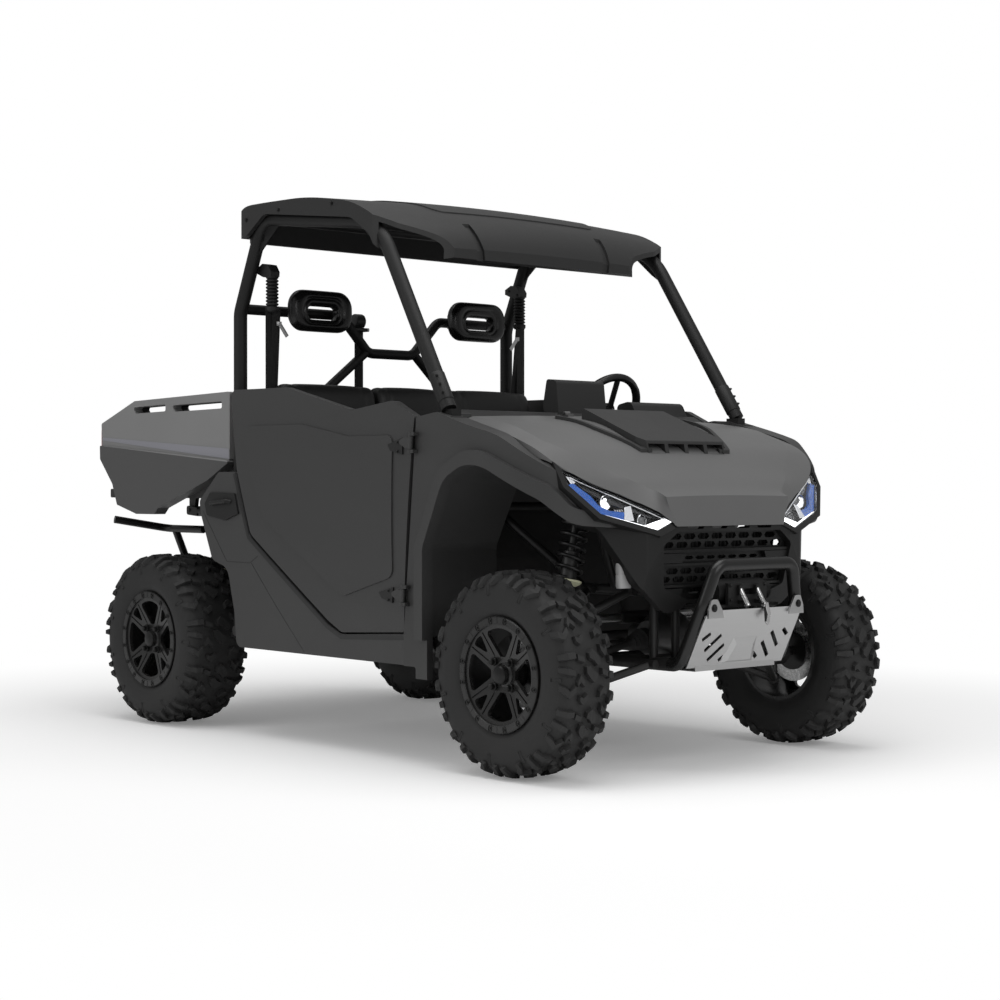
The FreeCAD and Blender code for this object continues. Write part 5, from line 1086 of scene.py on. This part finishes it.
def build_side_trim():
    """Seal along the door opening, seam lines, latch pods and the hinge covers on the doors."""
    seal = Form()
    skin_band(seal, "side_panels",
              [(-0.446, 1.002), (-0.3535, 0.760), (0.1225, 0.4475), (0.204, 0.413), (0.570, 0.430)], 0.008, 0.0012)
    seal.both_sides()
    seal.piece("door_opening_seal", "soft_black", "panel_dark", crease=60)
    seams = Form()
    for path in ([(-0.660, 0.858), (-0.502, 0.665), (-0.345, 0.663), (-0.296, 0.690)],
                 [(-0.338, 0.663), (-0.179, 0.498), (-0.025, 0.344)]):
        skin_band(seams, "side_panels", path, 0.0013, 0.0005)
    seams.both_sides()
    seams.piece("panel_seams", "soft_black", "panel_dark")
    pods = Form()
    base = skin_place("side_panels", -0.52, 0.88, -0.006)
    pods.slab([Vector((x, base.y, z)) for x, z in (
        (-0.640, 0.887), (-0.623, 0.839), (-0.502, 0.822), (-0.412, 0.848), (-0.436, 0.925), (-0.600, 0.930))],
        (0, 0.014, 0))
    pods.tube([Vector((x, base.y + y, z)) for x, y, z in (
        (-0.462, 0.010, 0.893), (-0.475, 0.026, 0.896), (-0.575, 0.026, 0.888), (-0.590, 0.010, 0.886))], 0.009, 12)
    pods.both_sides()
    pods.piece("latch_pods", "trim_black", "panel_dark", soft_edge=0.004)
    for side, body in ((1, "door_left"), (-1, "door_right")):
        covers = Form()
        for outline in (((0.492, 1.098), (0.575, 1.120), (0.575, 1.062), (0.508, 1.076)),
                        ((0.438, 0.583), (0.520, 0.604), (0.514, 0.549), (0.456, 0.563))):
            x, z = (sum(values) / 4 for values in zip(*outline))
            base = skin_place("door_left", x, z, -0.002)
            covers.slab([Vector((px, side * base.y, pz)) for px, pz in outline], (0, side * 0.008, 0))
            for shift in (-0.016, 0.016):
                covers.screw(Vector((x + 0.012, side * (base.y + 0.008), z + shift)), (0, side, 0), 0.0045)
        covers.piece("hinge_covers_" + body, "soft_black", "panel_dark", body, soft_edge=0.002)


def build_body_trim():
    """Roof screws, cage joints, bed stripes, bed floor ribs and the tail lamps' ribbed lenses."""
    screws = Form()
    for x, z in ((aft(590), 1.968), (aft(800), 1.985), (fore(-960), 1.975)):
        screws.screw(Vector((x, ROOF_EDGE, z)), (0, 1, 0.15))
    screws.both_sides()
    screws.piece("roof_screws", "bolt_black", "roof_plastic")
    sleeves = Form()
    foot = from_front(-316, 728, 1214)
    pillar = (from_front(-746, 690, 1892.5) - foot).normalized()
    sleeves.turned([(0.0262, 0), (0.0285, 0.002), (0.0285, 0.108), (0.0262, 0.112)], foot + pillar * 0.03, pillar,
                   36, closed=True)
    for i in range(3):
        sleeves.screw(foot + pillar * (0.055 + i * 0.034) + Vector((0.018, 0.021, 0.012)), (0.6, 0.75, 0.35), 0.0035)
    sleeves.both_sides()
    sleeves.piece("pillar_sleeves", "cage_paint", "cage_black", soft_edge=0.0008)
    stripe = Form()
    stripe.slab([from_rear(x, 715.2, z) for x, z in ((442, 1098), (-500, 1158), (-498, 1146), (442, 1058))],
                (0, 0.0012, 0))
    stripe.both_sides()
    stripe.piece("bed_stripes", "stripe_film", "bed_panel", "bed")
    ribs = Form()
    for y in range(-588, 589, 84):
        ribs.tube([from_rear(x, y, 925.5) for x in (405, -470)], 0.011, 8, 0.45, LEFT)
    ribs.piece("bed_floor_ribs", "bed_liner", "bed_plastic", "bed", crease=60)
    lenses = Form()
    low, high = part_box("tail_lamps")
    for i in range(7):
        z = low.z + 0.008 + i * (high.z - low.z - 0.016) / 6
        lenses.tube([Vector((low.x + 0.001, high.y - inset, z)) for inset in (0.004, 0.060)], 0.0045, 10, 0.6, UP)
    lenses.both_sides()
    lenses.piece("tail_lamp_ribs", "lamp_red", "lamp_red", "bed", crease=60)
    latch = Form()
    low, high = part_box("tailgate")
    latch.slab([Vector((low.x + 0.007, y, z)) for y, z in ((-0.07, 1.12), (0.07, 1.12), (0.06, 1.17), (-0.06, 1.17))],
               (-0.012, 0, 0))
    latch.piece("tailgate_latch", "trim_black", "bed_panel", "tailgate", soft_edge=0.003)


# Stage

def bare_tree(owner, output):
    """An emptied node tree and its output's surface socket."""
    owner.use_nodes = True
    owner.node_tree.nodes.clear()
    return owner.node_tree, add_node(owner.node_tree, output).inputs["Surface"]


def blend_shaders(tree, factor, first, second, surface):
    mix = add_node(tree, "MixShader")
    for value, socket in zip((factor, first.outputs[0], second.outputs[0]), mix.inputs):
        feed(tree, value, socket)
    feed(tree, mix.outputs[0], surface)


def build_floor():
    """Pale floor that keeps the shadow and turns white with distance."""
    corners = [(x * GROUND_HALF, y * GROUND_HALF, 0) for x, y in ((-1, -1), (1, -1), (1, 1), (-1, 1))]
    mesh = mesh_of("floor", corners, [(0, 1, 2, 3)])
    floor = add_object("floor", mesh)
    material = bpy.data.materials.new("floor_white")
    tree, surface = bare_tree(material, "OutputMaterial")
    seen = add_node(tree, "LightPath").outputs["Is Camera Ray"]
    pale = add_node(tree, "BsdfDiffuse", Color=mix_colour(tree, seen, FLOOR_TONE, FLOOR_TONE_SEEN))
    length = add_node(tree, "VectorMath")
    length.operation = "LENGTH"
    feed(tree, object_place(tree), length.inputs[0])
    far = add_node(tree, "MapRange", Value=length.outputs["Value"], From_Min=WHITE_FROM, From_Max=WHITE_AT,
                   To_Min=0.18, To_Max=1.0)
    far.interpolation_type = "SMOOTHSTEP"
    blend_shaders(tree, math_node(tree, "MULTIPLY", far.outputs[0], seen), pale,
                  add_node(tree, "Emission", Color=WHITE), surface)
    mesh.materials.append(material)


def build_world():
    """Even soft light, and plain white for what the camera sees."""
    world = bpy.data.worlds.new("studio")
    bpy.context.scene.world = world
    tree, surface = bare_tree(world, "OutputWorld")
    path = add_node(tree, "LightPath").outputs
    seen = math_node(tree, "MAXIMUM", path["Is Camera Ray"], path["Is Transmission Ray"])
    soft, white = (add_node(tree, "Background", Color=WHITE, Strength=level) for level in (SOFT_LIGHT, 1.0))
    blend_shaders(tree, seen, soft, white, surface)


def add_lamp(name, place, target, size, power):
    light = bpy.data.lights.new(name, "AREA")
    light.shape = "RECTANGLE"
    light.size, light.size_y = size
    light.energy = power
    lamp = add_object(name, light)
    lamp.location = place
    lamp.rotation_euler = (Vector(target) - Vector(place)).to_track_quat("-Z", "Y").to_euler()


def build_lights():
    add_lamp("top_softbox", (0.4, -0.6, 5.2), (0, 0, 0.6), (5.0, 4.0), 132)
    add_lamp("front_softbox", (5.5, -0.5, 3.4), (0.6, 0, 0.8), (3.0, 2.5), 54)
    add_lamp("side_softbox", (-1.0, -6.0, 3.2), (0, 0, 0.8), (4.0, 2.5), 36)


def build_camera():
    camera = bpy.data.cameras.new("photo_camera")
    camera.sensor_width = 36.0
    camera.lens = CAMERA_LENS
    holder = add_object("photo_camera", camera)
    holder.location = CAMERA_PLACE
    back = Vector((sin(CAMERA_AZIMUTH) * cos(CAMERA_ELEVATION),
                   -cos(CAMERA_AZIMUTH) * cos(CAMERA_ELEVATION), sin(CAMERA_ELEVATION)))
    holder.rotation_euler = (-back).to_track_quat("-Z", "Y").to_euler()
    bpy.context.scene.camera = holder
    bpy.context.scene.view_settings.view_transform = "Standard"


build_world()
build_floor()
build_lights()
build_camera()
finish_nodes()
for end in ("front", "rear"):
    for side in ("left", "right"):
        build_tyre("tyre_" + end + "_" + side, "wheel_" + end + "_" + side)
        dress_wheel(end + "_" + side, "wheel_" + end + "_" + side)
build_headlights()
build_seats()
build_headrests()
build_belts()
build_shocks()
build_nose()
build_cab()
build_side_trim()
build_body_trim()
